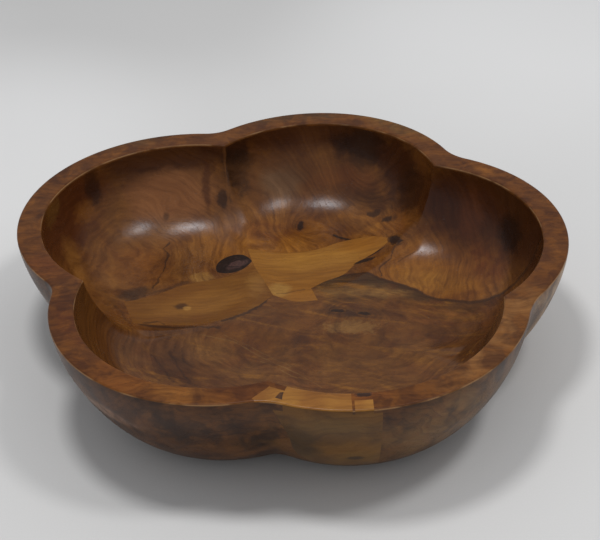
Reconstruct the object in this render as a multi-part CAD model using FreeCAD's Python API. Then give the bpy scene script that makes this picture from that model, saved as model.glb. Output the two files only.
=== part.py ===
import FreeCAD, Part
import math
import os

os.makedirs("parts", exist_ok=True)

V = FreeCAD.Vector
UP = V(0, 0, 1)

# ---------------------------------------------------------------------------
# Driving dimensions (mm).  +Z is up, +Y is the back of the bowl and the origin
# is the middle of the flat foot.
# ---------------------------------------------------------------------------
HEIGHT = 80.0            # foot to rim
RIM_WIDTH = 16.0         # flat top of the wall
INSIDE_DEPTH = 60.0      # rim to the lowest part of each hollow
DISH_DEPTH = 58.5        # rim to the shallow dish in the middle of the floor
DISH_RADIUS = 125.0      # reach of that dish at rim level
EASED_EDGE = 1.2         # small bevel on both edges of the rim

# Five round lobes: compass bearing (deg, from +X), distance of the lobe centre
# from the middle, and outside radius at the rim.
LOBES = (
    (148.0, 83.0, 109.0),
    (76.0, 74.0, 102.0),
    (2.0, 70.0, 109.0),
    (-60.0, 74.0, 108.0),
    (-129.0, 68.0, 107.0),
)
NOTCH_BLEND = 9.0        # how softly two lobes run together on the outside

# Outside wall: lobe radius and lobe distance at the foot as shares of those at
# the rim, and the roundness of the wall between the two.
FOOT_RADIUS_SHARE = 0.55
FOOT_CENTRE_SHARE = 0.94
WALL_ROUNDNESS = 1.6

# Hollow: a flat-floored scoop with a wall that turns upright at the rim.
SCOOP_FLATNESS = 4.5
SCOOP_SOFTNESS = 0.7
DISH_FLATNESS = 4.0

# Let-in pieces.
FLOOR_POCKET_DEPTH = 9.0     # pocket depth under the lowest part of the floor
KNOT_POCKET_DEPTH = 7.0
FILL_POCKET_DEPTH = 4.0
RIM_POCKET_DEPTH = 8.0       # depth of the front rim patch from the rim
SMALL_RIM_POCKET_DEPTH = 6.0
WALL_PATCH_THICKNESS = 6.0   # outside facing let into the front wall
WALL_PATCH_TOP = 3.0         # how far its top edge stays below the rim
WALL_PATCH_FOOT = 9.0        # height of its lower edge

OUTLINE_STEPS = 90
WALL_SECTION_ANGLES = (0.0, 13.0, 26.0, 39.0, 52.0, 65.0, 78.0, 90.0)
SCOOP_ANGLES = (0.0, 5.0, 12.0, 20.0, 29.0, 38.0, 48.0, 58.0, 68.0, 76.0, 83.0)


# ---------------------------------------------------------------------------
# Outline of the lobed plan
# ---------------------------------------------------------------------------
def lobe_centre(lobe, share=1.0):
    bearing, reach, _ = lobe
    angle = math.radians(bearing)
    return share * reach * math.cos(angle), share * reach * math.sin(angle)


def circle_reach(direction, bearing, reach, radius):
    """Distance from the middle to the far side of one lobe circle."""
    turn = direction - math.radians(bearing)
    inside = radius * radius - (reach * math.sin(turn)) ** 2
    if inside <= 0.0:
        return 0.0
    return max(reach * math.cos(turn) + math.sqrt(inside), 0.0)


def outline_reach(direction, radius_share=1.0, centre_share=1.0, inset=0.0):
    """Reach of the outside outline, with neighbouring lobes blended."""
    reaches = []
    for bearing, reach, radius in LOBES:
        lobe_radius = (radius - inset) * radius_share
        reaches.append(circle_reach(direction, bearing, reach * centre_share, lobe_radius))
    reaches.sort(reverse=True)
    near = max(1.0 - (reaches[0] - reaches[1]) / NOTCH_BLEND, 0.0)
    return reaches[0] + NOTCH_BLEND / 4.0 * near * near


def outline_wire(z, radius_share=1.0, centre_share=1.0, inset=0.0):
    points = []
    for step in range(OUTLINE_STEPS):
        direction = 2.0 * math.pi * step / OUTLINE_STEPS
        reach = outline_reach(direction, radius_share, centre_share, inset)
        points.append(V(reach * math.cos(direction), reach * math.sin(direction), z))
    curve = Part.BSplineCurve()
    curve.interpolate(Points=points, PeriodicFlag=True)
    return Part.Wire([curve.toShape()])


# ---------------------------------------------------------------------------
# Main wooden body
# ---------------------------------------------------------------------------
def outside(inset=0.0):
    """Lobed block with its rounded outside wall and flat foot."""
    wires = []
    top = HEIGHT - EASED_EDGE
    for angle in WALL_SECTION_ANGLES:
        a = math.radians(angle)
        growth = math.sin(a) ** (2.0 / WALL_ROUNDNESS)
        rise = 1.0 - max(math.cos(a), 0.0) ** (2.0 / WALL_ROUNDNESS)
        radius_share = FOOT_RADIUS_SHARE + (1.0 - FOOT_RADIUS_SHARE) * growth
        centre_share = FOOT_CENTRE_SHARE + (1.0 - FOOT_CENTRE_SHARE) * rise
        wires.append(outline_wire(top * rise, radius_share, centre_share, inset))
    wall = Part.makeLoft(wires, True, False)
    bevel = Part.makeLoft([outline_wire(top, inset=inset),
                           outline_wire(HEIGHT, inset=inset + EASED_EDGE)], True, True)
    return wall.fuse(bevel)


def hollow_profile(radius, depth, flatness, softness):
    """Half section of one scoop, from its axis out to the rim."""
    points = []
    for angle in SCOOP_ANGLES:
        a = math.radians(angle)
        share = math.sin(a) ** (2.0 / flatness)
        drop = depth * math.cos(a) ** (2.0 * softness)
        points.append(V(radius * share, 0, HEIGHT - drop))
    points.append(V(radius, 0, HEIGHT - EASED_EDGE))
    curve = Part.BSplineCurve()
    curve.interpolate(Points=points, InitialTangent=V(1, 0, 0), FinalTangent=V(0, 0, 1))
    over = HEIGHT + 5.0
    a = V(radius + EASED_EDGE, 0, HEIGHT)
    b = V(radius + EASED_EDGE, 0, over)
    c = V(0, 0, over)
    edges = [curve.toShape(), Part.makeLine(points[-1], a), Part.makeLine(a, b),
             Part.makeLine(b, c), Part.makeLine(c, points[0])]
    return Part.Face(Part.Wire(edges))


def scoop(x, y, radius, depth, flatness):
    profile = hollow_profile(radius, depth, flatness, SCOOP_SOFTNESS)
    tool = profile.revolve(V(0, 0, 0), UP, 360)
    tool.translate(V(x, y, 0))
    return tool


def hollowed(block):
    shape = block
    for lobe in LOBES:
        x, y = lobe_centre(lobe)
        shape = shape.cut(scoop(x, y, lobe[2] - RIM_WIDTH, INSIDE_DEPTH, SCOOP_FLATNESS))
    return shape.cut(scoop(0.0, 0.0, DISH_RADIUS, DISH_DEPTH, DISH_FLATNESS))


# ---------------------------------------------------------------------------
# Cutting tools for the let-in pieces
# ---------------------------------------------------------------------------
def smooth_edge(points):
    curve = Part.BSplineCurve()
    curve.interpolate(Points=[V(x, y, 0) for x, y in points])
    return curve.toShape()


def straight_edge(start, end):
    return Part.makeLine(V(start[0], start[1], 0), V(end[0], end[1], 0))


def arc_edge(start, middle, end):
    return Part.Arc(V(start[0], start[1], 0), V(middle[0], middle[1], 0),
                    V(end[0], end[1], 0)).toShape()


def upright_prism(edges, low, high):
    face = Part.Face(Part.Wire(edges))
    face.translate(V(0, 0, low))
    return face.extrude(V(0, 0, high - low))


def oval_prism(x, y, half_long, half_short, turn, low, high):
    oval = Part.Ellipse(V(0, 0, 0), half_long, half_short).toShape()
    face = Part.Face(Part.Wire([oval]))
    face.rotate(V(0, 0, 0), UP, turn)
    face.translate(V(x, y, low))
    return face.extrude(V(0, 0, high - low))


FLOOR = HEIGHT - INSIDE_DEPTH
OVER = HEIGHT + 5.0


def floor_strip_left():
    """Pale strip, left length: butts against the right length at its joint end."""
    joint_back = (-26, 66)
    joint_front = (-13, 28)
    end_back = (-114, 30)
    end_front = (-106, 1)
    back = smooth_edge([end_back, (-93, 38), (-72, 49), (-45, 55), joint_back])
    front = smooth_edge([joint_front, (-24, 16), (-44, 4), (-62, -1), (-82, 0), end_front])
    edges = [back, straight_edge(joint_back, joint_front), front,
             straight_edge(end_front, end_back)]
    return upright_prism(edges, FLOOR - FLOOR_POCKET_DEPTH, OVER)


def floor_strip_right():
    """Pale strip, right length, wider and tapering to its far tip."""
    joint_back = (-26, 66)
    joint_front = (-13, 28)
    heel = (-30, 85)
    tip = (72, 84)
    waist = (13, 34)
    foot = (17, 19)
    back = smooth_edge([heel, (-4, 81), (20, 84), (36, 91), (58, 93), tip])
    front = smooth_edge([tip, (60, 74), (45, 62), (36, 50), (22, 42), waist])
    toe = smooth_edge([foot, (2, 19), joint_front])
    edges = [straight_edge(heel, joint_back), straight_edge(joint_back, joint_front), toe,
             straight_edge(waist, foot), front, back]
    return upright_prism(edges, FLOOR - FLOOR_POCKET_DEPTH, OVER)


def floor_knot_large():
    """Eye-shaped dark knot beside the strip."""
    left = (-51, 61)
    right = (-27, 70)
    edges = [arc_edge(left, (-41, 79), right), arc_edge(right, (-38, 60), left)]
    return upright_prism(edges, FLOOR - KNOT_POCKET_DEPTH, OVER)


def floor_knot_back():
    return oval_prism(8, 112, 6.0, 3.0, 80, FLOOR - KNOT_POCKET_DEPTH, OVER)


def floor_knot_front_left():
    return oval_prism(30, 7, 5.5, 3.2, 0, FLOOR - KNOT_POCKET_DEPTH, OVER)


def floor_knot_front_right():
    return oval_prism(47, 3, 5.0, 3.2, -15, FLOOR - KNOT_POCKET_DEPTH, OVER)


def floor_fill_strip_end():
    """Dark filling in the hole at the far tip of the strip."""
    return oval_prism(74, 80, 8.0, 4.5, 118, FLOOR - FILL_POCKET_DEPTH, OVER)


def floor_fill_streak():
    """Thin dark filling along the front edge of the strip."""
    left = (43, 61)
    right = (60, 68)
    edges = [arc_edge(left, (50, 66.5), right), arc_edge(right, (53, 62.5), left)]
    return upright_prism(edges, FLOOR - FILL_POCKET_DEPTH, OVER)


def rim_patch_front():
    """Pale block across the full width of the front rim, round at its left end."""
    low = HEIGHT - RIM_POCKET_DEPTH
    back_left = (0, -140)
    front_left = (0, -180)
    back_right = (31, -140)
    front_right = (31, -180)
    edges = [straight_edge(back_right, back_left), arc_edge(back_left, (-8, -160), front_left),
             straight_edge(front_left, front_right), straight_edge(front_right, back_right)]
    return upright_prism(edges, low, OVER)


def rim_gap_fill():
    """Dark filling in the gap between the front patch and the triangle."""
    low = HEIGHT - SMALL_RIM_POCKET_DEPTH
    a = (-12, -156.5)
    b = (-9, -152)
    c = (-2, -152)
    d = (-2, -162)
    edges = [straight_edge(a, b), straight_edge(b, c), straight_edge(c, d), straight_edge(d, a)]
    return upright_prism(edges, low, OVER)


def rim_patch_triangle():
    """Three-cornered pale patch in the front notch."""
    low = HEIGHT - SMALL_RIM_POCKET_DEPTH
    a = (-25, -156)
    b = (-15, -146)
    c = (-6, -151)
    d = (-6, -165)
    e = (-20, -165)
    edges = [straight_edge(a, b), straight_edge(b, c), straight_edge(c, d),
             straight_edge(d, e), straight_edge(e, a)]
    return upright_prism(edges, low, OVER)


def rim_patch_small():
    """Small square patch at the right end of the front patch."""
    low = HEIGHT - SMALL_RIM_POCKET_DEPTH
    a = (32.5, -163)
    b = (43, -163)
    c = (43, -180)
    d = (32.5, -180)
    edges = [straight_edge(a, b), straight_edge(b, c), straight_edge(c, d), straight_edge(d, a)]
    return upright_prism(edges, low, OVER)


def rim_knot_front():
    low = HEIGHT - SMALL_RIM_POCKET_DEPTH
    return oval_prism(38, -158, 5.5, 2.4, 4, low, OVER)


def wall_patch_front():
    """Pale facing let into the outside of the front wall, below the rim."""
    top = HEIGHT - WALL_PATCH_TOP
    top_left = (-15, top)
    top_right = (48, top)
    foot_right = (46, WALL_PATCH_FOOT)
    foot_left = (12, WALL_PATCH_FOOT)
    corners = [V(x, 0, z) for x, z in (top_left, top_right, foot_right, foot_left)]
    side = Part.BSplineCurve()
    side.interpolate(Points=[corners[3], V(-2, 0, 30), V(-6, 0, 52), corners[0]])
    edges = [Part.makeLine(corners[0], corners[1]), Part.makeLine(corners[1], corners[2]),
             Part.makeLine(corners[2], corners[3]), side.toShape()]
    face = Part.Face(Part.Wire(edges))
    face.translate(V(0, -200, 0))
    region = face.extrude(V(0, 120, 0))
    return region.cut(outside(WALL_PATCH_THICKNESS))


# A piece listed earlier keeps its full shape; a later one is trimmed to it.
LET_IN = (
    ("floor_fill_strip_end", floor_fill_strip_end),
    ("floor_fill_streak", floor_fill_streak),
    ("floor_strip_left", floor_strip_left),
    ("floor_strip_right", floor_strip_right),
    ("floor_knot_large", floor_knot_large),
    ("floor_knot_back", floor_knot_back),
    ("floor_knot_front_left", floor_knot_front_left),
    ("floor_knot_front_right", floor_knot_front_right),
    ("rim_patch_front", rim_patch_front),
    ("rim_gap_fill", rim_gap_fill),
    ("rim_patch_triangle", rim_patch_triangle),
    ("rim_patch_small", rim_patch_small),
    ("rim_knot_front", rim_knot_front),
    ("wall_patch_front", wall_patch_front),
)


def largest_solid(shape):
    return max(shape.Solids, key=lambda solid: solid.Volume)


def build():
    carved = hollowed(outside())
    rest = carved
    pieces = {}
    for name, make_tool in LET_IN:
        tool = make_tool()
        pieces[name] = largest_solid(rest.common(tool))
        rest = rest.cut(pieces[name])
    pieces["bowl_body"] = largest_solid(rest)
    return pieces


for node, solid in build().items():
    box = solid.BoundBox
    print("%-24s solids %d valid %s volume %10.1f  x %.1f..%.1f  y %.1f..%.1f  z %.1f..%.1f" % (
        node, len(solid.Solids), solid.isValid(), solid.Volume,
        box.XMin, box.XMax, box.YMin, box.YMax, box.ZMin, box.ZMax))
    solid.exportStep("parts/%s.step" % node)
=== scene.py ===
import math

import bpy
import numpy as np
from mathutils import Matrix, Vector


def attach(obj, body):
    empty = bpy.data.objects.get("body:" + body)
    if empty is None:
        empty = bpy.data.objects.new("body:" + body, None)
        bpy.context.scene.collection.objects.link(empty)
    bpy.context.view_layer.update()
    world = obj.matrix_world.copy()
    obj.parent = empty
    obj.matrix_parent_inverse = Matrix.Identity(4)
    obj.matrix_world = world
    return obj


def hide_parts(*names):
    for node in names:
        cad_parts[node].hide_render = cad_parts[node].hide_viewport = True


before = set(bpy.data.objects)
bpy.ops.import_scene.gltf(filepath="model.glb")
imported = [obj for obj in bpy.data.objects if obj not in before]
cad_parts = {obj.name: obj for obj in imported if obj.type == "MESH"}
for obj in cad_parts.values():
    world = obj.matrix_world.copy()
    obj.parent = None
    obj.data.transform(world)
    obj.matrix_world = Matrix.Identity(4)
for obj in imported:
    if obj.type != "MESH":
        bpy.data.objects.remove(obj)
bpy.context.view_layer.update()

# ---------------------------------------------------------------------------
# The bowl's own sizes, in millimetres.  +Z is up, +Y is the back.
# ---------------------------------------------------------------------------
MM = 0.001
HEIGHT = 80.0
RIM_WIDTH = 16.0
HOLLOW_DEPTH = 60.0
DISH_DEPTH = 58.5
DISH_RADIUS = 125.0
EDGE = 1.2               # rounding of both rim edges
LOBES = (                # bearing, reach of the centre, outside radius
    (148.0, 83.0, 109.0),
    (76.0, 74.0, 102.0),
    (2.0, 70.0, 109.0),
    (-60.0, 74.0, 108.0),
    (-129.0, 68.0, 107.0),
)
NOTCH_BLEND = 9.0
RIDGE_SOFTNESS = (1.6, 14.0)  # rubbing of the ridges, at the rim and low down
RIDGE_RUBBED = (25.0, 45.0)   # depths between which the rubbing grows
RIDGE_FADING = (50.0, 59.0)   # depths between which it dies away at the floor
RIDGE_FADE = 0.9
POLISH = 0.05                 # sanded off the outside
FOOT_RADIUS_SHARE = 0.55
FOOT_CENTRE_SHARE = 0.94
WALL_ROUNDNESS = 1.6
SCOOP_FLATNESS = 4.5
SCOOP_SOFTNESS = 0.7
DISH_FLATNESS = 4.0
WALL_PATCH_THICKNESS = 6.0
JOINT_GAP = 0.025             # line left round each let-in piece
WAVER_HEIGHT = 0.16           # unevenness left by the gouge
WAVER_START = 4.0             # it begins this far under the rim
WAVER_GROWTH = 12.0           # and is full this much lower

# How finely each stretch is divided
ROUND_STEPS = 960
CORE_ROUND_STEPS = 240
WALL_STEPS = 70
EDGE_STEPS = 5
RIM_STEPS = 12
HOLLOW_STEPS = 190
HOLLOW_SAMPLES = 600
SAMPLE_CROWDING = 1.6         # above 1 the samples crowd towards the rim
FOOT_RINGS = (0.25, 0.5, 0.75, 0.9, 0.97)

INSIDE, RIM, OUTSIDE, CUT = range(4)
ZONES = [bpy.data.materials.new(name) for name in ("hollow", "rim", "outside", "cut")]


# ---------------------------------------------------------------------------
# Shape of the bowl
# ---------------------------------------------------------------------------
def lobe_centre(lobe):
    """Middle of one lobe's circle."""
    angle = math.radians(lobe[0])
    return lobe[1] * math.cos(angle), lobe[1] * math.sin(angle)


def circle_reach(direction, bearing, reach, radius):
    """How far one lobe's circle lies from the bowl's middle in each direction."""
    turn = direction - math.radians(bearing)
    inside = radius * radius - (reach * np.sin(turn)) ** 2
    far = reach * np.cos(turn) + np.sqrt(np.clip(inside, 0.0, None))
    return np.where(inside > 0.0, far, 0.0)


def soft_largest(values, softness):
    """Largest of several fields, rounded where the two largest meet."""
    ranked = np.sort(values, axis=0)[::-1]
    near = np.clip(1.0 - (ranked[0] - ranked[1]) / softness, 0.0, None)
    return ranked[0] + softness / 4.0 * near * near


def smooth_step(value, low, high):
    """Share from 0 to 1 that eases in and out."""
    share = np.clip((value - low) / (high - low), 0.0, 1.0)
    return share * share * (3.0 - 2.0 * share)


def outside_reach(direction, radius_share=1.0, centre_share=1.0, inset=0.0):
    """Outline of the outside, with its lobes running softly together."""
    reaches = [circle_reach(direction, bearing, reach * centre_share,
                            (radius - inset - POLISH) * radius_share)
               for bearing, reach, radius in LOBES]
    return soft_largest(np.array(reaches), NOTCH_BLEND)


def inside_reach(direction, ease=0.0):
    """Outline of the hollow at the rim, with crisp points between its lobes."""
    return np.max([circle_reach(direction, bearing, reach, radius - RIM_WIDTH + ease)
                   for bearing, reach, radius in LOBES], axis=0)


def scoop_depth(distance, radius, depth, flatness):
    """Depth of a scoop with a flat floor and an upright wall."""
    share = np.clip(distance / radius, 0.0, 1.0)
    return depth * (1.0 - share ** flatness) ** SCOOP_SOFTNESS


def hollow_depth(x, y):
    """Depth under the rim where the five scoops and the middle dish meet."""
    depths = []
    for lobe in LOBES:
        cx, cy = lobe_centre(lobe)
        depths.append(scoop_depth(np.hypot(x - cx, y - cy), lobe[2] - RIM_WIDTH,
                                  HOLLOW_DEPTH, SCOOP_FLATNESS))
    depths.append(scoop_depth(np.hypot(x, y), DISH_RADIUS, DISH_DEPTH, DISH_FLATNESS))
    depths = np.array(depths)
    deepest = depths.max(axis=0)
    crisp, rubbed = RIDGE_SOFTNESS
    softness = crisp + (rubbed - crisp) * smooth_step(deepest, *RIDGE_RUBBED)
    softness = softness * (1.0 - RIDGE_FADE * smooth_step(deepest, *RIDGE_FADING))
    return soft_largest(depths, softness)


def hand_waver(x, y):
    """Slight unevenness that the gouge and sandpaper leave."""
    waver = np.sin(x * 0.071 + 0.6) * np.sin(y * 0.083 + 1.9)
    waver += 0.6 * np.sin(x * 0.131 + y * 0.047 + 2.4)
    waver += 0.4 * np.sin(y * 0.187 - x * 0.093 + 0.3)
    return waver * WAVER_HEIGHT


def hollow_rings(direction):
    """Rings from the rim's inside edge down to the middle, evenly spaced on the surface."""
    share = 1.0 - np.linspace(0.0, 1.0, HOLLOW_SAMPLES) ** SAMPLE_CROWDING
    top = inside_reach(direction)
    reach = top[:, None] * share[None, :]
    x = reach * np.cos(direction)[:, None]
    y = reach * np.sin(direction)[:, None]
    depth = np.maximum(hollow_depth(x, y), EDGE)
    step = np.hypot(np.diff(reach, axis=1), np.diff(depth, axis=1))
    run = np.concatenate([np.zeros((len(direction), 1)), np.cumsum(step, axis=1)], axis=1)
    rings = []
    for k in range(1, HOLLOW_STEPS):
        goal = run[:, -1] * k / HOLLOW_STEPS
        ring = np.array([np.interp(goal[i], run[i], reach[i]) for i in range(len(direction))])
        rx = ring * np.cos(direction)
        ry = ring * np.sin(direction)
        drop = hollow_depth(rx, ry)
        fade = np.clip((drop - WAVER_START) / WAVER_GROWTH, 0.0, 1.0)
        drop = np.maximum(drop, EDGE) + fade * hand_waver(rx, ry)
        rings.append((rx, ry, HEIGHT - drop))
    return rings


def bowl_rings(direction, inset=0.0):
    """Every ring of the outside, from the foot up to the rim's outer edge."""
    rings = []
    foot = outside_reach(direction, FOOT_RADIUS_SHARE, FOOT_CENTRE_SHARE, inset)
    for share in FOOT_RINGS:
        rings.append((foot * share, np.zeros_like(foot)))
    top = HEIGHT - EDGE
    for k in range(WALL_STEPS + 1):
        angle = 0.5 * math.pi * k / WALL_STEPS
        growth = math.sin(angle) ** (2.0 / WALL_ROUNDNESS)
        rise = 1.0 - max(math.cos(angle), 0.0) ** (2.0 / WALL_ROUNDNESS)
        reach = outside_reach(direction,
                              FOOT_RADIUS_SHARE + (1.0 - FOOT_RADIUS_SHARE) * growth,
                              FOOT_CENTRE_SHARE + (1.0 - FOOT_CENTRE_SHARE) * rise, inset)
        rings.append((reach, np.full_like(reach, top * rise)))
    for k in range(1, EDGE_STEPS + 1):
        angle = 0.5 * math.pi * k / EDGE_STEPS
        reach = outside_reach(direction, inset=inset + EDGE * (1.0 - math.cos(angle)))
        rings.append((reach, np.full_like(reach, top + EDGE * math.sin(angle))))
    return [(reach * np.cos(direction), reach * np.sin(direction), z) for reach, z in rings]


def ring_mesh(name, rings, start, end, zones):
    """Closed mesh through a run of equal rings, with a point closing each end."""
    count = len(rings[0][0])
    points = np.concatenate([np.stack(ring, axis=1) for ring in rings])
    points = np.concatenate([points, [start], [end]]) * MM
    first = len(points) - 2
    last = len(points) - 1
    around = np.arange(count)
    beside = (around + 1) % count
    faces = []
    marks = []
    for k in range(count):
        faces.append((first, int(beside[k]), int(around[k])))
    marks += [zones[0]] * count
    for row in range(len(rings) - 1):
        a = row * count
        b = a + count
        quads = np.stack([a + around, a + beside, b + beside, b + around], axis=1)
        faces += quads.tolist()
        marks += [zones[row + 1]] * count
    a = (len(rings) - 1) * count
    for k in range(count):
        faces.append((a + int(around[k]), a + int(beside[k]), last))
    marks += [zones[-1]] * count
    mesh = bpy.data.meshes.new(name)
    mesh.from_pydata(points.tolist(), [], faces)
    mesh.polygons.foreach_set("material_index", marks)
    mesh.polygons.foreach_set("use_smooth", [True] * len(mesh.polygons))
    mesh.update()
    return mesh


def whole_bowl():
    """The bowl before its let-in pieces are cut apart."""
    direction = np.linspace(0.0, 2.0 * math.pi, ROUND_STEPS, endpoint=False)
    rings = bowl_rings(direction)
    zones = [OUTSIDE] * (len(rings) - EDGE_STEPS + 1) + [RIM] * EDGE_STEPS
    outer = outside_reach(direction, inset=EDGE)
    inner = inside_reach(direction, ease=EDGE)
    for k in range(1, RIM_STEPS + 1):
        share = k / RIM_STEPS
        reach = outer + (inner - outer) * share
        rings.append((reach * np.cos(direction), reach * np.sin(direction),
                      np.full_like(reach, HEIGHT)))
        zones.append(RIM)
    for k in range(1, EDGE_STEPS + 1):
        angle = 0.5 * math.pi * k / EDGE_STEPS
        reach = inside_reach(direction, ease=EDGE * (1.0 - math.sin(angle)))
        rings.append((reach * np.cos(direction), reach * np.sin(direction),
                      np.full_like(reach, HEIGHT - EDGE * (1.0 - math.cos(angle)))))
        zones.append(RIM)
    hollow = hollow_rings(direction)
    rings += hollow
    zones += [INSIDE] * (len(hollow) + 1)
    middle = np.zeros(1)
    floor = HEIGHT - float(hollow_depth(middle, middle)[0]) - float(
        hand_waver(middle, middle)[0])
    return ring_mesh("bowl", rings, (0.0, 0.0, 0.0), (0.0, 0.0, floor), zones)


# ---------------------------------------------------------------------------
# Cutters for the let-in pieces
# ---------------------------------------------------------------------------
SAME_POINT = 0.02                 # points nearer than this are one
FACING_BLOCK = (-200.0, -80.0)    # front and back of the block that the facing is cut from
CORE_LIFT = 0.0004                # the core behind the facing is raised this much, in metres


def smooth_line(points, steps=14):
    """Smooth run of points through a few given ones."""
    p = np.array(points, float)
    run = np.concatenate([[0.0], np.cumsum(np.hypot(*np.diff(p, axis=0).T))])
    slope = np.gradient(p, run, axis=0)
    out = []
    for k in range(len(p) - 1):
        h = run[k + 1] - run[k]
        for s in np.linspace(0.0, 1.0, steps, endpoint=False):
            a = 2 * s ** 3 - 3 * s ** 2 + 1
            b = s ** 3 - 2 * s ** 2 + s
            c = -2 * s ** 3 + 3 * s ** 2
            d = s ** 3 - s ** 2
            out.append(a * p[k] + b * h * slope[k] + c * p[k + 1] + d * h * slope[k + 1])
    out.append(p[-1])
    return [tuple(v) for v in out]


def arc_line(start, middle, end, steps=24):
    """Circular arc through three points."""
    (ax, ay), (bx, by), (cx, cy) = start, middle, end
    d = 2.0 * (ax * (by - cy) + bx * (cy - ay) + cx * (ay - by))
    ux = ((ax * ax + ay * ay) * (by - cy) + (bx * bx + by * by) * (cy - ay)
          + (cx * cx + cy * cy) * (ay - by)) / d
    uy = ((ax * ax + ay * ay) * (cx - bx) + (bx * bx + by * by) * (ax - cx)
          + (cx * cx + cy * cy) * (bx - ax)) / d
    radius = math.hypot(ax - ux, ay - uy)
    a0 = math.atan2(ay - uy, ax - ux)
    a1 = math.atan2(by - uy, bx - ux)
    a2 = math.atan2(cy - uy, cx - ux)
    sweep = (a2 - a0) % (2 * math.pi)
    if (a1 - a0) % (2 * math.pi) > sweep:
        sweep -= 2 * math.pi
    return [(ux + radius * math.cos(a0 + sweep * k / steps),
             uy + radius * math.sin(a0 + sweep * k / steps)) for k in range(steps + 1)]


def oval_line(x, y, half_long, half_short, turn, steps=40):
    """Oval with its long half at an angle."""
    t = math.radians(turn)
    points = []
    for k in range(steps):
        a = 2 * math.pi * k / steps
        u = half_long * math.cos(a)
        v = half_short * math.sin(a)
        points.append((x + u * math.cos(t) - v * math.sin(t),
                       y + u * math.sin(t) + v * math.cos(t)))
    return points


def tidy_outline(points):
    """Outline without doubled points, running anticlockwise."""
    kept = []
    for p in points:
        if not kept or math.dist(p, kept[-1]) > SAME_POINT:
            kept.append(p)
    if math.dist(kept[0], kept[-1]) < SAME_POINT:
        kept.pop()
    area = sum(a[0] * b[1] - b[0] * a[1] for a, b in zip(kept, kept[1:] + kept[:1]))
    return kept if area > 0 else kept[::-1]


def shrunk(points, gap):
    """The same outline drawn in by the width of the joint."""
    count = len(points)
    out = []
    for k, (x, y) in enumerate(points):
        px, py = points[k - 1]
        nx, ny = points[(k + 1) % count]
        tx, ty = nx - px, ny - py
        length = math.hypot(tx, ty) or 1.0
        out.append((x - ty / length * gap, y + tx / length * gap))
    return out


def prism(points, low, high, upright=True):
    """Straight-sided cutter; upright ones stand on the plan, others face the front."""
    count = len(points)
    if upright:
        corners = [(x, y, low) for x, y in points] + [(x, y, high) for x, y in points]
    else:
        corners = [(x, high, z) for x, z in points] + [(x, low, z) for x, z in points]
    faces = [tuple(range(count))[::-1], tuple(range(count, 2 * count))]
    for k in range(count):
        n = (k + 1) % count
        faces.append((k, n, count + n, count + k))
    mesh = bpy.data.meshes.new("cutter")
    mesh.from_pydata([tuple(c * MM for c in corner) for corner in corners], [], faces)
    mesh.polygons.foreach_set("material_index", [CUT] * len(mesh.polygons))
    mesh.update()
    return mesh


def loose(name, mesh):
    """New object holding a mesh."""
    item = bpy.data.objects.new(name, mesh)
    bpy.context.scene.collection.objects.link(item)
    return item


def combine(mesh, cutter, how):
    """Mesh left after one cut or one overlap; its faces keep their zones."""
    for each in (mesh, cutter):
        if not each.materials:
            for zone in ZONES:
                each.materials.append(zone)
    a = loose("work", mesh)
    b = loose("tool", cutter)
    step = a.modifiers.new("cut", "BOOLEAN")
    step.operation = how
    step.solver = "MANIFOLD"
    step.object = b
    graph = bpy.context.evaluated_depsgraph_get()
    made = bpy.data.meshes.new_from_object(a.evaluated_get(graph))
    bpy.data.objects.remove(a)
    bpy.data.objects.remove(b)
    return made


FLOOR = HEIGHT - HOLLOW_DEPTH
OVER = HEIGHT + 5.0               # tops of the upright cutters
PATCH_TOP = HEIGHT - 3.0
STRIP_LOW = FLOOR - 9.0
KNOT_LOW = FLOOR - 7.0
FILL_LOW = FLOOR - 4.0
RIM_LOW = HEIGHT - 8.0
SMALL_LOW = HEIGHT - 6.0

JOINT_BACK = (-26, 66)
JOINT_FRONT = (-13, 28)
LEFT_STRIP = (
    smooth_line([(-114, 30), (-93, 38), (-72, 49), (-45, 55), JOINT_BACK])
    + smooth_line([JOINT_FRONT, (-24, 16), (-44, 4), (-62, -1), (-82, 0), (-106, 1)]))
RIGHT_STRIP = (
    [(-30, 85), JOINT_BACK]
    + smooth_line([JOINT_FRONT, (2, 19), (17, 19)])
    + smooth_line([(13, 34), (22, 42), (36, 50), (45, 62), (60, 74), (72, 84)])
    + smooth_line([(72, 84), (58, 93), (36, 91), (20, 84), (-4, 81), (-30, 85)]))
LARGE_KNOT = (arc_line((-51, 61), (-41, 79), (-27, 70))
              + arc_line((-27, 70), (-38, 60), (-51, 61)))
STREAK_FILL = (arc_line((43, 61), (50, 66.5), (60, 68))
               + arc_line((60, 68), (53, 62.5), (43, 61)))
FRONT_PATCH = [(31, -140)] + arc_line((0, -140), (-8, -160), (0, -180)) + [(31, -180)]
GAP_FILL = [(-12, -156.5), (-9, -152), (-2, -152), (-2, -162)]
TRIANGLE = [(-25, -156), (-15, -146), (-6, -151), (-6, -165), (-20, -165)]
SMALL_PATCH = [(32.5, -163), (43, -163), (43, -180), (32.5, -180)]
WALL_PATCH = ([(-15, PATCH_TOP), (48, PATCH_TOP), (46, 9)]
              + smooth_line([(12, 9), (-2, 30), (-6, 52), (-15, PATCH_TOP)]))

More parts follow.
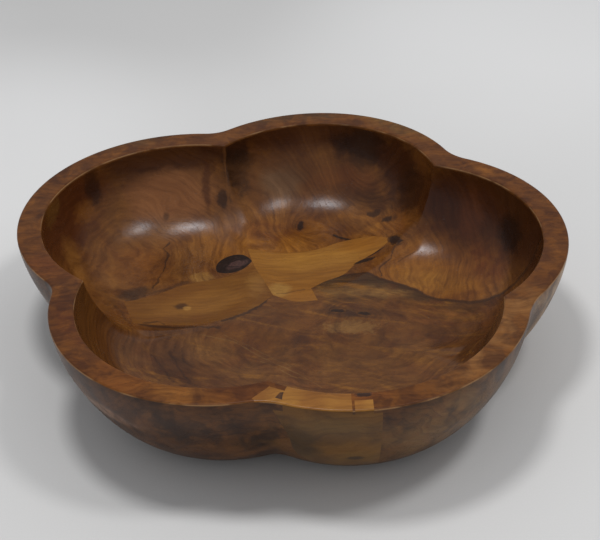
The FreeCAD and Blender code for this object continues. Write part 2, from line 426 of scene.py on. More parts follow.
# name, CAD node, outline, lowest level, material slot
LET_IN = (
    ("strip_end_filling", "floor_fill_strip_end", oval_line(74, 80, 8, 4.5, 118), FILL_LOW,
     "dark_filler"),
    ("streak_filling", "floor_fill_streak", STREAK_FILL, FILL_LOW, "dark_filler"),
    ("honey_strip_left", "floor_strip_left", LEFT_STRIP, STRIP_LOW, "pale_wood"),
    ("honey_strip_right", "floor_strip_right", RIGHT_STRIP, STRIP_LOW, "pale_wood"),
    ("eye_knot", "floor_knot_large", LARGE_KNOT, KNOT_LOW, "knot_wood"),
    ("back_knot", "floor_knot_back", oval_line(8, 112, 6, 3, 80), KNOT_LOW, "knot_wood"),
    ("front_knot_left", "floor_knot_front_left", oval_line(30, 7, 5.5, 3.2, 0), KNOT_LOW,
     "knot_wood"),
    ("front_knot_right", "floor_knot_front_right", oval_line(47, 3, 5, 3.2, -15), KNOT_LOW,
     "knot_wood"),
    ("rim_honey_patch", "rim_patch_front", FRONT_PATCH, RIM_LOW, "pale_wood"),
    ("rim_gap_filling", "rim_gap_fill", GAP_FILL, SMALL_LOW, "dark_filler"),
    ("rim_triangle_patch", "rim_patch_triangle", TRIANGLE, SMALL_LOW, "pale_wood"),
    ("rim_small_patch", "rim_patch_small", SMALL_PATCH, SMALL_LOW, "pale_wood"),
    ("rim_knot", "rim_knot_front", oval_line(38, -158, 5.5, 2.4, 4), SMALL_LOW, "knot_wood"),
    ("olive_wall_patch", "wall_patch_front", WALL_PATCH, None, "olive_wood"),
)


def patch_region(points):
    """Facing of even thickness on the outside wall, under the rim."""
    direction = np.linspace(0.0, 2.0 * math.pi, CORE_ROUND_STEPS, endpoint=False)
    rings = bowl_rings(direction, inset=WALL_PATCH_THICKNESS)
    core = ring_mesh("core", rings, (0, 0, 0), (0, 0, HEIGHT), [CUT] * (len(rings) + 1))
    core.transform(Matrix.Translation((0, 0, CORE_LIFT)))
    block = prism(points, *FACING_BLOCK, upright=False)
    return combine(block, core, "DIFFERENCE")


def cut_apart():
    """Bowl body and let-in pieces, each its own closed mesh."""
    rest = whole_bowl()
    pieces = {}
    for name, _, points, low, _ in LET_IN:
        outline = tidy_outline(points)
        drawn_in = shrunk(outline, JOINT_GAP)
        if low is None:
            whole_tool = patch_region(outline)
            piece_tool = patch_region(drawn_in)
        else:
            whole_tool = prism(outline, low, OVER)
            piece_tool = prism(drawn_in, low + JOINT_GAP, OVER)
        pieces[name] = combine(rest, piece_tool, "INTERSECT")
        rest = combine(rest, whole_tool, "DIFFERENCE")
    pieces["root_wood_body"] = rest
    return pieces


# ---------------------------------------------------------------------------
# Laying out shader nodes
# ---------------------------------------------------------------------------
MIX_FIRST, MIX_SECOND, MIX_RESULT = 6, 7, 2    # the colour sockets of a Mix node
HALF_GREY = (0.5, 0.5, 0.5)                    # middle of a colour noise


class Bench:
    """Lays nodes in one tree and joins them."""

    def __init__(self, tree):
        self.tree = tree

    def put(self, kind, feeds=None, **settings):
        """Lay one node, set it up and feed its inputs."""
        node = self.tree.nodes.new(kind)
        for key, value in settings.items():
            setattr(node, key, value)
        for key, value in (feeds or {}).items():
            self.feed(node.inputs[key], value)
        return node

    def feed(self, socket, value):
        """Join a socket to an input, or set a plain value on it."""
        if isinstance(value, bpy.types.NodeSocket):
            self.tree.links.new(value, socket)
        else:
            socket.default_value = value

    def math(self, how, a, b=0.0, c=0.0):
        """One step of reckoning with plain numbers."""
        node = self.put("ShaderNodeMath", {0: a, 1: b, 2: c}, operation=how)
        return node.outputs[0]

    def vector(self, how, a, b=(0.0, 0.0, 0.0)):
        """One step of reckoning with places or colours."""
        node = self.put("ShaderNodeVectorMath", {0: a, 1: b}, operation=how)
        return node.outputs["Value" if how in ("LENGTH", "DOT_PRODUCT") else "Vector"]

    def scale(self, a, factor):
        """Place or colour times a plain number."""
        node = self.put("ShaderNodeVectorMath", {0: a, "Scale": factor}, operation="SCALE")
        return node.outputs["Vector"]

    def split(self, a):
        """The three numbers of a place."""
        return self.put("ShaderNodeSeparateXYZ", {0: a}).outputs

    def join(self, x, y, z):
        """Place made of three numbers."""
        return self.put("ShaderNodeCombineXYZ", {0: x, 1: y, 2: z}).outputs[0]

    def turn(self, a, angle):
        """Place turned about the upright."""
        return self.put("ShaderNodeVectorRotate", {"Vector": a, "Angle": angle},
                        rotation_type="Z_AXIS").outputs[0]

    def drift(self, place, scale, detail=3.0, roughness=0.6):
        """Loose wandering of a place, even in every direction."""
        return self.vector("SUBTRACT", self.noise(place, scale, detail, roughness, colour=True),
                           HALF_GREY)

    def noise(self, place, scale, detail=2.0, roughness=0.5, twist=0.0, colour=False):
        """Soft random cloud, the same at every run."""
        node = self.put("ShaderNodeTexNoise",
                        {"Vector": place, "Scale": scale, "Detail": detail,
                         "Roughness": roughness, "Distortion": twist},
                        noise_dimensions="3D")
        return node.outputs["Color" if colour else "Fac"]

    def step(self, value, low, high, to_low=0.0, to_high=1.0):
        """Number eased from one range into another."""
        node = self.put("ShaderNodeMapRange",
                        {"Value": value, "From Min": low, "From Max": high,
                         "To Min": to_low, "To Max": to_high},
                        interpolation_type="SMOOTHSTEP")
        return node.outputs["Result"]

    def blend(self, share, a, b, how="MIX"):
        """Two colours mixed by a share."""
        node = self.tree.nodes.new("ShaderNodeMix")
        node.data_type = "RGBA"
        node.blend_type = how
        self.feed(node.inputs["Factor"], share)
        for number, value in ((MIX_FIRST, a), (MIX_SECOND, b)):
            self.feed(node.inputs[number], rgba(value))
        return node.outputs[MIX_RESULT]


def rgba(value):
    """A colour with its alpha, or the socket itself."""
    return value if isinstance(value, bpy.types.NodeSocket) else (*value[:3], 1.0)


def new_group(name, inputs, outputs):
    """Node group with named sockets; returns its bench, its inputs and its end node."""
    tree = bpy.data.node_groups.new(name, "ShaderNodeTree")
    kinds = {"value": "NodeSocketFloat", "vector": "NodeSocketVector",
             "colour": "NodeSocketColor"}
    for label, kind, default in inputs:
        socket = tree.interface.new_socket(label, in_out="INPUT", socket_type=kinds[kind])
        socket.default_value = default
    for label, kind in outputs:
        tree.interface.new_socket(label, in_out="OUTPUT", socket_type=kinds[kind])
    bench = Bench(tree)
    start = tree.nodes.new("NodeGroupInput")
    end = tree.nodes.new("NodeGroupOutput")
    return tree, bench, start.outputs, end.inputs


def use(bench, group, **feeds):
    """Place a node group; words in a socket's name are joined by an underscore here."""
    node = bench.tree.nodes.new("ShaderNodeGroup")
    node.node_tree = group
    for key, value in feeds.items():
        bench.feed(node.inputs[key.replace("_", " ")], value)
    return node.outputs


# ---------------------------------------------------------------------------
# Effects shared by the materials.  Every place is in millimetres.
# ---------------------------------------------------------------------------
KINK_SCALE = 0.09              # small kinks in the rings
KINK_SHARE = 0.10              # their size as a share of the wander
RING_UNEVENNESS = 2.6          # how far thick and thin years shift the rings
LATE_WOOD = 3.0                # how sharply a ring darkens towards its outside
LEAST_LIFT = 0.3               # darkest that the fibre may make the wood
RED_POWER, BLUE_POWER = 0.85, 1.25   # dark fibre keeps more red and less blue


def make_timber_figure():
    """Growth rings laid in shells round a heart, wavering as root wood does."""
    tree, b, i, o = new_group(
        "timber figure",
        (("Place", "vector", (0, 0, 0)), ("Heart", "vector", (0, 0, 0)),
         ("Stretch", "vector", (1, 1, 1)), ("Ring Width", "value", 4.0),
         ("Wander", "value", 20.0), ("Wander Size", "value", 60.0),
         ("Push", "value", 0.0)),
        (("Bands", "value"), ("Lines", "value"), ("Fibre", "value")))
    loose_scale = b.math("DIVIDE", 1.0, i["Wander Size"])
    sway = b.drift(i["Place"], loose_scale, 2.5, 0.55)
    place = b.vector("ADD", i["Place"], b.scale(sway, i["Wander"]))
    tight = b.drift(i["Place"], KINK_SCALE, 2.0)
    kink = b.math("MULTIPLY", i["Wander"], KINK_SHARE)
    place = b.vector("ADD", place, b.scale(tight, kink))
    arm = b.vector("MULTIPLY", b.vector("SUBTRACT", place, i["Heart"]), i["Stretch"])
    reach = b.math("ADD", b.vector("LENGTH", arm), i["Push"])
    rings = b.math("DIVIDE", reach, i["Ring Width"])
    uneven = b.noise(b.join(b.math("MULTIPLY", rings, 0.31), 3.7, 0.0), 1.0, 1.0)
    rings = b.math("ADD", rings, b.math("MULTIPLY", uneven, RING_UNEVENNESS))
    saw = b.math("FRACT", rings)
    late = b.math("POWER", saw, LATE_WOOD)
    drop = b.step(saw, 0.94, 1.0, 1.0, 0.0)
    strength = b.step(b.noise(b.join(b.math("FLOOR", rings), 0.0, 9.1), 0.73, 0.0),
                      0.3, 0.7, 0.25, 1.0)
    b.feed(o["Lines"], b.math("MULTIPLY", b.math("MULTIPLY", late, drop), strength))
    broad = b.noise(b.join(b.math("MULTIPLY", rings, 0.19), 0.0, 1.3), 1.0, 2.0)
    b.feed(o["Bands"], b.step(broad, 0.32, 0.68))
    xyz = b.split(place)
    thread = b.join(b.math("MULTIPLY", reach, 0.42), b.math("MULTIPLY", xyz[0], 0.045),
                    b.math("MULTIPLY", xyz[1], 0.045))
    b.feed(o["Fibre"], b.noise(thread, 1.0, 4.0, 0.68))
    return tree


def make_patch_mask():
    """Ragged oval patch with its three half sizes, turned about the upright."""
    tree, b, i, o = new_group(
        "patch mask",
        (("Place", "vector", (0, 0, 0)), ("Centre", "vector", (0, 0, 0)),
         ("Half Size", "vector", (10, 10, 1000)), ("Turn", "value", 0.0),
         ("Ragged", "value", 0.5), ("Grain", "value", 12.0), ("Soft", "value", 0.3)),
        (("Mask", "value"),))
    cosine = b.math("COSINE", i["Turn"])
    sine = b.math("SINE", i["Turn"])
    half = b.split(i["Half Size"])
    arm = b.vector("SUBTRACT", i["Place"], i["Centre"])
    along = b.join(b.math("DIVIDE", cosine, half[0]), b.math("DIVIDE", sine, half[0]), 0.0)
    across = b.join(b.math("DIVIDE", b.math("MULTIPLY", sine, -1.0), half[1]),
                    b.math("DIVIDE", cosine, half[1]), 0.0)
    upward = b.join(0.0, 0.0, b.math("DIVIDE", 1.0, half[2]))
    size = b.vector("LENGTH", b.join(b.vector("DOT_PRODUCT", arm, along),
                                     b.vector("DOT_PRODUCT", arm, across),
                                     b.vector("DOT_PRODUCT", arm, upward)))
    rough = b.noise(i["Place"], b.math("DIVIDE", 1.0, i["Grain"]), 3.0, 0.6)
    size = b.math("ADD", size, b.math("MULTIPLY", b.math("SUBTRACT", rough, 0.5),
                                      i["Ragged"]))
    b.feed(o["Mask"], b.step(size, b.math("ADD", 1.0, i["Soft"]),
                             b.math("SUBTRACT", 1.0, i["Soft"])))
    return tree


def make_loose_grain():
    """Loose drift of a place, and a swelling number, shared by the thin lines."""
    tree, b, i, o = new_group("loose grain", (("Place", "vector", (0, 0, 0)),
                                              ("Grain", "value", 9.0)),
                              (("Drift", "vector"), ("Swell", "value")))
    b.feed(o["Drift"], b.drift(i["Place"], b.math("DIVIDE", 1.0, i["Grain"])))
    b.feed(o["Swell"], b.step(b.noise(i["Place"], 0.13, 1.0), 0.25, 0.7, 0.35, 1.5))
    return tree


def make_vein_mask():
    """Thin line along one run from a start; Slope is the run over its own square."""
    tree, b, i, o = new_group(
        "vein mask",
        (("Place", "vector", (0, 0, 0)), ("Start", "vector", (0, 0, 0)),
         ("Run", "vector", (10, 0, 0)), ("Slope", "vector", (0.1, 0, 0)),
         ("Width", "value", 1.0)),
        (("Mask", "value"),))
    arm = b.vector("SUBTRACT", i["Place"], i["Start"])
    share = b.vector("DOT_PRODUCT", arm, i["Slope"])
    share = b.math("MINIMUM", b.math("MAXIMUM", share, 0.0), 1.0)
    off = b.vector("LENGTH", b.vector("SUBTRACT", arm, b.scale(i["Run"], share)))
    b.feed(o["Mask"], b.step(off, i["Width"], b.math("MULTIPLY", i["Width"], 0.25)))
    return tree


def make_knot_swirl():
    """Bulge in the rings round a knot, with a dark eye in the middle."""
    tree, b, i, o = new_group(
        "knot swirl",
        (("Place", "vector", (0, 0, 0)), ("Centre", "vector", (0, 0, 0)),
         ("Spread", "value", 15.0), ("Strength", "value", 10.0)),
        (("Push", "value"), ("Eye", "value")))
    sway = b.drift(i["Place"], 0.08, 2.0, 0.5)
    arm = b.vector("SUBTRACT", b.vector("ADD", i["Place"], b.scale(sway, 5.0)), i["Centre"])
    off = b.math("DIVIDE", b.vector("LENGTH", b.vector("MULTIPLY", arm, (1, 1, 0.4))),
                 i["Spread"])
    fall = b.math("EXPONENT", b.math("MULTIPLY", b.math("MULTIPLY", off, off), -1.0))
    b.feed(o["Push"], b.math("MULTIPLY", fall, i["Strength"]))
    b.feed(o["Eye"], b.step(off, 0.42, 0.12))
    return tree


def make_pore_mask():
    """Short open pores drawn out along the grain."""
    tree, b, i, o = new_group(
        "open pores",
        (("Place", "vector", (0, 0, 0)), ("Run", "vector", (0.25, 1.4, 1.4)),
         ("Turn", "value", 0.0), ("Amount", "value", 0.5)),
        (("Mask", "value"),))
    place = b.vector("MULTIPLY", b.turn(i["Place"], i["Turn"]), i["Run"])
    dots = b.put("ShaderNodeTexVoronoi", {"Vector": place, "Scale": 1.0, "Randomness": 1.0},
                 feature="F1").outputs["Distance"]
    where = b.noise(i["Place"], 0.05, 2.0)
    reach = b.math("MULTIPLY", b.step(where, 0.35, 0.65, 0.04, 0.24), i["Amount"])
    b.feed(o["Mask"], b.step(dots, b.math("MULTIPLY", reach, 1.6), reach))
    return tree


def make_varnish():
    """Satin varnish: uneven gloss, and a faint ripple and specks in its surface."""
    tree, b, i, o = new_group(
        "satin varnish",
        (("Place", "vector", (0, 0, 0)), ("Roughness", "value", 0.33),
         ("Unevenness", "value", 0.06), ("Grain Height", "value", 0.0)),
        (("Roughness", "value"), ("Height", "value")))
    cloud = b.noise(i["Place"], 0.028, 3.0, 0.6)
    smear = b.noise(b.vector("MULTIPLY", i["Place"], (0.35, 1.2, 1.2)), 0.11, 4.0, 0.65)
    vary = b.math("SUBTRACT", b.math("ADD", cloud, smear), 1.0)
    b.feed(o["Roughness"], b.math("MULTIPLY_ADD", vary, i["Unevenness"], i["Roughness"]))
    ripple = b.noise(i["Place"], 0.16, 2.0, 0.5)
    speck = b.noise(i["Place"], 1.9, 2.0, 0.6)
    height = b.math("ADD", b.math("MULTIPLY", ripple, 0.5), b.math("MULTIPLY", speck, 0.05))
    b.feed(o["Height"], b.math("ADD", height, i["Grain Height"]))
    return tree


def make_wood_tones():
    """Wood colour from its light and dark parts, its rings and its fibre."""
    tree, b, i, o = new_group(
        "wood tones",
        (("Light", "colour", (0.2, 0.1, 0.04, 1)), ("Dark", "colour", (0.1, 0.04, 0.02, 1)),
         ("Line", "colour", (0.04, 0.015, 0.008, 1)), ("Bands", "value", 0.5),
         ("Lines", "value", 0.0), ("Fibre", "value", 0.5), ("Band Strength", "value", 0.5),
         ("Line Strength", "value", 0.5), ("Fibre Strength", "value", 0.3)),
        (("Colour", "colour"),))
    share = b.math("MULTIPLY", i["Bands"], i["Band Strength"])
    colour = b.blend(share, i["Light"], i["Dark"])
    colour = b.blend(b.math("MULTIPLY", i["Lines"], i["Line Strength"]), colour, i["Line"])
    lift = b.math("MULTIPLY_ADD", b.math("SUBTRACT", i["Fibre"], 0.5), i["Fibre Strength"], 1.0)
    lift = b.math("MAXIMUM", lift, LEAST_LIFT)
    warm = b.join(b.math("POWER", lift, RED_POWER), lift, b.math("POWER", lift, BLUE_POWER))
    b.feed(o["Colour"], b.vector("MULTIPLY", colour, warm))
    return tree


timber_figure = make_timber_figure()
patch_mask = make_patch_mask()
loose_grain = make_loose_grain()
vein_mask = make_vein_mask()
knot_swirl = make_knot_swirl()
open_pores = make_pore_mask()
satin_varnish = make_varnish()
wood_tones = make_wood_tones()


# ---------------------------------------------------------------------------
# Materials
# ---------------------------------------------------------------------------
COOL_GLINT = (0.88, 0.92, 1.0, 1.0)
GRAIN_RELIEF = 0.0004              # height of the grain under the varnish, in metres
GRIT_RELIEF = 0.0003
PORE_DULLING = 0.25                # roughness added in open pores and rubbed places


def new_finish(name, gloss=0.25):
    """Material with a place in millimetres and a bare shader to feed."""
    material = bpy.data.materials.new(name)
    material.use_nodes = True
    tree = material.node_tree
    tree.nodes.clear()
    b = Bench(tree)
    where = b.put("ShaderNodeTexCoord").outputs["Object"]
    place = b.scale(where, 1.0 / MM)
    shader = tree.nodes.new("ShaderNodeBsdfPrincipled")
    shader.inputs["Specular IOR Level"].default_value = gloss
    shader.inputs["Specular Tint"].default_value = COOL_GLINT
    end = tree.nodes.new("ShaderNodeOutputMaterial")
    tree.links.new(shader.outputs[0], end.inputs[0])
    return material, b, place, shader


def varnish_over(b, shader, place, colour, roughness, unevenness, relief, bump, dull=None):
    """Satin finish over a wood colour, with the grain standing slightly through it."""
    coat = use(b, satin_varnish, Place=place, Roughness=roughness, Unevenness=unevenness,
               Grain_Height=relief)
    b.feed(shader.inputs["Base Color"], b.vector("MULTIPLY", colour, VARNISH_TINT))
    rough = coat["Roughness"]
    if dull is not None:
        rough = b.math("MULTIPLY_ADD", dull, PORE_DULLING, rough)
    b.feed(shader.inputs["Roughness"], rough)
    raised = b.put("ShaderNodeBump", {"Strength": bump, "Distance": GRAIN_RELIEF,
                                      "Height": coat["Height"]})
    b.feed(shader.inputs["Normal"], raised.outputs[0])


def stained(b, place, colour, tones):
    """Lay ragged patches of other tones over a colour, one after another."""
    for centre, half_size, tone, strength, turn, ragged, grain, soft in tones:
        mask = use(b, patch_mask, Place=place, Centre=centre, Half_Size=half_size,
                   Turn=math.radians(turn), Ragged=ragged, Grain=grain, Soft=soft)["Mask"]
        colour = b.blend(b.math("MULTIPLY", mask, strength), colour, tone)
    return colour


def veined(b, place, colour, veins, grain=9.0):
    """Lay thin wandering lines, each through a few points seen from above."""
    loose_way = use(b, loose_grain, Place=place, Grain=grain)
    for points, tone, width, wander, strength in veins:
        drawn = b.vector("ADD", place, b.scale(loose_way["Drift"], wander))
        drawn = b.vector("MULTIPLY", drawn, (1.0, 1.0, 0.0))
        thick = b.math("MULTIPLY", loose_way["Swell"], width)
        total = None
        for start, end in zip(points, points[1:]):
            run = (end[0] - start[0], end[1] - start[1])
            square = run[0] ** 2 + run[1] ** 2
            slope = (run[0] / square, run[1] / square, 0.0)
            mask = use(b, vein_mask, Place=drawn, Start=(*start, 0.0), Run=(*run, 0.0),
                       Slope=slope, Width=thick)["Mask"]
            total = mask if total is None else b.math("MAXIMUM", total, mask)
        colour = b.blend(b.math("MULTIPLY", total, strength), colour, tone)
    return colour


BAND_SHADE = (0.58, 0.50, 0.46)    # how much darker a band, or a ring's late wood, is
LINE_SHADE = (0.36, 0.28, 0.28)


def figured(b, ground, figure, bands, lines, fibre):
    """Rings, bands and fibre worked into a ground colour."""
    dark = b.blend(1.0, ground, BAND_SHADE, "MULTIPLY")
    line = b.blend(1.0, ground, LINE_SHADE, "MULTIPLY")
    return use(b, wood_tones, Light=ground, Dark=dark, Line=line, Bands=figure["Bands"],
               Lines=figure["Lines"], Fibre=figure["Fibre"], Band_Strength=bands,
               Line_Strength=lines, Fibre_Strength=fibre)["Colour"]


def clouded(b, place, colour, size, strength, tone):
    """Cloudy patches of a second tone through a colour."""
    cloud = b.noise(place, 1.0 / size, 3.5, 0.58, 0.6)
    return b.blend(b.math("MULTIPLY", b.step(cloud, 0.40, 0.66), strength), colour, tone)


VARNISH_TINT = (1.05, 0.97, 0.72)  # warmth the old varnish lends every wood
AMBER = (0.240, 0.098, 0.0155)
TAN = (0.176, 0.078, 0.020)
MID_BROWN = (0.134, 0.054, 0.0135)
RED_BROWN = (0.092, 0.029, 0.0075)
DEEP_BROWN = (0.034, 0.012, 0.005)
BARK = (0.026, 0.011, 0.006)
OLIVE_PALE = (0.165, 0.092, 0.034)
DUSK = (0.105, 0.045, 0.018)
FRONT_GROUND = ((0.150, 0.060, 0.0115), (0.128, 0.050, 0.010))   # near the rim, by the border
GOLD_STREAK = (0.205, 0.090, 0.015)
PALE_FLECK = (0.220, 0.094, 0.020)
DARK_FLECK = (0.050, 0.020, 0.006)
SMOKE = (0.060, 0.020, 0.006)
BORDER_TONE = (0.036, 0.015, 0.007)
# pale greyish tone of the rim's edge line: partly wear, partly a painted highlight
EDGE_WEAR_AND_HIGHLIGHT = (0.300, 0.180, 0.110)
PORE_TONE = (0.07, 0.028, 0.008)
KNOT_HEART = (0.016, 0.007, 0.005)
EYE_BARK = (0.014, 0.007, 0.006)

# Tones of the hollow: centre, half size, colour, strength, turn, ragged, grain, softness
HOLLOW_TONES = (
    ((-100, 75, 25), (50, 55, 40), TAN, 0.8, 0, 0.7, 22, 0.5),
    ((-104, 70, 20), (22, 22, 16), (0.172, 0.064, 0.013), 0.85, 20, 0.9, 14, 0.4),
    ((-72, 80, 20), (14, 26, 18), (0.118, 0.048, 0.013), 0.6, 0, 1.0, 12, 0.5),
    ((-55, 90, 20), (22, 16, 18), (0.165, 0.080, 0.026), 0.6, 0, 0.8, 14, 0.5),
    ((5, 96, 20), (85, 26, 16), AMBER, 0.9, 0, 0.7, 20, 0.4),
    ((-14, 105, 23), (22, 10, 9), (0.115, 0.036, 0.008), 0.8, 0, 1.2, 8, 0.5),
    ((44, 106, 22), (16, 8, 9), (0.080, 0.030, 0.009), 0.7, -20, 1.2, 8, 0.5),
    ((78, 96, 30), (14, 12, 12), (0.200, 0.076, 0.012), 0.9, 0, 1.0, 8, 0.4),
    ((98, 40, 20), (50, 34, 24), (0.200, 0.077, 0.011), 0.95, -25, 0.5, 20, 0.35),
    ((96, 34, 20), (26, 12, 14), (0.240, 0.108, 0.018), 0.7, -25, 0.9, 14, 0.5),
    ((134, 38, 36), (16, 22, 14), (0.118, 0.034, 0.007), 0.9, 0, 0.8, 12, 0.4),
    ((-134, 34, 28), (9, 14, 14), (0.170, 0.076, 0.022), 0.7, 0, 0.9, 10, 0.5),
)
FRONT_TONES = (
    ((62, 24, 20), (60, 20, 30), (0.082, 0.040, 0.013), 0.9, -18, 0.6, 18, 0.4),
    ((42, 41, 20), (26, 8, 20), (0.056, 0.032, 0.013), 0.9, -6, 0.9, 9, 0.4),
    ((82, 24, 20), (24, 9, 20), (0.048, 0.022, 0.008), 0.85, -30, 0.9, 10, 0.4),
    ((56, 27, 20), (20, 7, 20), (0.195, 0.105, 0.035), 0.8, -10, 1.0, 9, 0.5),
    ((24, 30, 20), (10, 6, 20), (0.160, 0.080, 0.022), 0.7, 20, 1.0, 7, 0.5),
    ((86, 6, 20), (34, 7, 20), (0.200, 0.082, 0.014), 0.9, -14, 1.0, 10, 0.5),
    ((-88, -26, 26), (36, 22, 18), DUSK, 0.8, 10, 0.8, 18, 0.5),
    ((-60, 0, 20), (50, 9, 20), (0.075, 0.030, 0.010), 0.6, 8, 1.0, 10, 0.5),
    ((-50, -34, 20), (26, 12, 10), (0.165, 0.074, 0.018), 0.65, -40, 1.0, 12, 0.5),
    ((-78, -48, 20), (14, 20, 14), (0.048, 0.019, 0.007), 0.65, 20, 1.1, 9, 0.5),
    ((0, -62, 20), (60, 26, 10), (0.105, 0.046, 0.016), 0.5, 0, 0.9, 22, 0.5),
    ((40, -40, 20), (44, 16, 10), (0.160, 0.074, 0.018), 0.5, 0, 1.1, 12, 0.5),
    ((34, 5, 20), (18, 7, 20), (0.062, 0.024, 0.009), 0.75, -8, 1.0, 6, 0.5),
    ((104, -8, 22), (34, 9, 16), (0.160, 0.058, 0.012), 0.7, -18, 0.8, 12, 0.5),
    ((116, 4, 24), (26, 8, 14), (0.060, 0.023, 0.006), 0.8, -14, 0.9, 10, 0.4),
    # painted shade: the upper right wall of the front-right lobe darkened where the rim shades
    # it
    ((118, -45, 44), (26, 40, 30), (0.046, 0.017, 0.007), 0.85, 0, 0.6, 16, 0.5),
)
WALL_TONES = (
    ((-152, 80, 66), (30, 62, 26), (0.062, 0.017, 0.0045), 0.92, 0, 0.7, 16, 0.4),
    ((-140, 98, 55), (13, 13, 7), (0.150, 0.058, 0.012), 0.85, 0, 1.3, 7, 0.5),
    ((-160, 66, 74), (8, 14, 6), (0.125, 0.060, 0.014), 0.7, 0, 1.2, 7, 0.5),
    ((-136, 108, 64), (5, 8, 18), (0.024, 0.008, 0.003), 0.8, 0, 1.0, 7, 0.5),
    ((-88, 134, 78), (54, 30, 19), (0.050, 0.017, 0.006), 0.92, 0, 0.6, 14, 0.35),
    ((-84, 125, 46), (32, 22, 16), (0.225, 0.098, 0.042), 0.95, 0, 0.5, 14, 0.35),
    ((-57, 127, 52), (3, 14, 22), (0.060, 0.018, 0.006), 0.75, 0, 0.7, 8, 0.5),
    ((-147, 54, 38), (6, 20, 16), (0.190, 0.084, 0.022), 0.8, 30, 0.9, 10, 0.5),
    ((-34, 134, 64), (10, 22, 22), (0.020, 0.008, 0.004), 1.0, 0, 1.2, 7, 0.4),
    ((-46, 121, 44), (5, 8, 5), (0.026, 0.010, 0.005), 0.85, 0, 1.3, 5, 0.4),
    ((-5, 142, 50), (42, 22, 18), (0.105, 0.044, 0.016), 0.6, 0, 0.8, 16, 0.5),
    # painted reflection: pale greyish patch standing for a soft sheen on the rear wall
    ((-4, 140, 42), (15, 12, 11), (0.130, 0.082, 0.058), 0.55, 0, 0.7, 12, 0.5),
    ((20, 154, 78), (66, 26, 16), (0.050, 0.016, 0.005), 0.88, 0, 0.8, 16, 0.4),
    ((46, 138, 42), (26, 14, 10), (0.125, 0.044, 0.013), 0.75, 0, 1.0, 10, 0.5),
    ((60, 146, 66), (26, 24, 12), (0.016, 0.0050, 0.002), 0.92, 0, 0.9, 12, 0.45),
    ((82, 128, 60), (16, 20, 20), (0.040, 0.012, 0.004), 0.85, 0, 0.9, 12, 0.4),
    ((66, 122, 33), (40, 12, 7), (0.048, 0.018, 0.006), 0.7, -22, 1.6, 9, 0.6),
    ((90, 106, 50), (16, 16, 18), (0.034, 0.012, 0.005), 0.85, 0, 1.0, 12, 0.4),
    # painted shade: the right wall of the right-hand lobe darkened as if in shade
    ((150, 40, 68), (34, 64, 30), (0.038, 0.0115, 0.0035), 0.92, 0, 0.6, 16, 0.4),
    ((118, 74, 58), (32, 36, 26), (0.042, 0.0115, 0.0026), 0.92, 0, 0.8, 14, 0.4),
    ((125, 66, 50), (7, 12, 22), (0.075, 0.022, 0.006), 0.75, 20, 0.9, 9, 0.5),
    # painted shade: deepest dark low on that same right wall
    ((149, 38, 54), (9, 15, 12), (0.015, 0.005, 0.002), 0.9, 0, 0.8, 9, 0.4),
    # partly the wood's dark orange-brown, partly painted shade on the left wall of the
    # front-left lobe
    ((-128, -42, 58), (24, 46, 34), (0.078, 0.028, 0.006), 0.88, 0, 0.6, 14, 0.4),
    ((-120, -48, 40), (8, 20, 14), (0.110, 0.042, 0.010), 0.7, 0, 1.0, 9, 0.5),
)
# Thin lines of the hollow: points, colour, width, wander, strength
HOLLOW_VEINS = (
    (((-85, 96), (-89, 91), (-86, 84), (-88, 70), (-92, 56), (-95, 46)),
     (0.045, 0.018, 0.007), 1.1, 5.0, 0.8),
    (((-103, 1), (-92, -2), (-75, -4), (-50, -6)), BARK, 2.2, 6.0, 0.75),
    (((-46, 1), (-30, 9), (-16, 24)), BARK, 1.9, 6.0, 0.75),
    (((-112, 31), (-92, 41), (-72, 52)), (0.060, 0.026, 0.010), 1.6, 6.0, 0.6),
    (((74, 77), (69, 62), (61, 53), (62, 45)), (0.05, 0.02, 0.008), 0.9, 4.0, 0.8),
    (((66, 77), (55, 70), (44, 63)), (0.03, 0.012, 0.006), 1.1, 3.0, 0.8),
    (((86, 63), (74, 57)), (0.06, 0.024, 0.009), 0.8, 3.0, 0.7),
    (((32, 99), (37, 96), (44, 92), (52, 92)), (0.018, 0.008, 0.005), 1.9, 4.0, 0.9),
    (((57, 115), (64, 112)), (0.022, 0.009, 0.005), 2.4, 6.0, 0.8),
    (((66, 104), (72, 102)), (0.022, 0.009, 0.005), 2.2, 5.0, 0.85),
    (((-81, -30), (-75, -45), (-68, -60)), DEEP_BROWN, 1.3, 5.0, 0.6),
    (((-92, -34), (-84, -48), (-78, -60)), DEEP_BROWN, 1.1, 5.0, 0.45),
    (((-62, -12), (-40, -20), (-25, -35), (-10, -50), (5, -62), (16, -73)), OLIVE_PALE,
     0.55, 2.5, 0.6),
    (((-45, -14), (-30, -26), (-17, -38), (-3, -52)), OLIVE_PALE, 0.45, 3.0, 0.5),
    (((-22, -43), (-6, -58), (8, -70)), OLIVE_PALE, 0.5, 3.0, 0.45),
    # painted highlight: pale line down the lit left flank of the ridge between the two rear
    # lobes
    (((-43, 135), (-42, 112)), (0.150, 0.062, 0.020), 1.3, 1.5, 0.5),
    (((-120, 24), (-112, 10), (-106, -6)), (0.06, 0.024, 0.010), 1.4, 6.0, 0.5),
)
# Small marks laid over the lines
SPOTS = (
    ((38, -12, 20), (17, 7, 20), (0.190, 0.100, 0.032), 0.8, 0, 2.6, 3.5, 0.3),
    ((-62, 57, 20), (8, 6, 20), (0.235, 0.125, 0.038), 0.8, -10, 0.5, 6, 0.25),
    ((-107, 40, 21), (12, 5, 12), (0.045, 0.022, 0.012), 0.75, 24, 1.3, 7, 0.4),
)


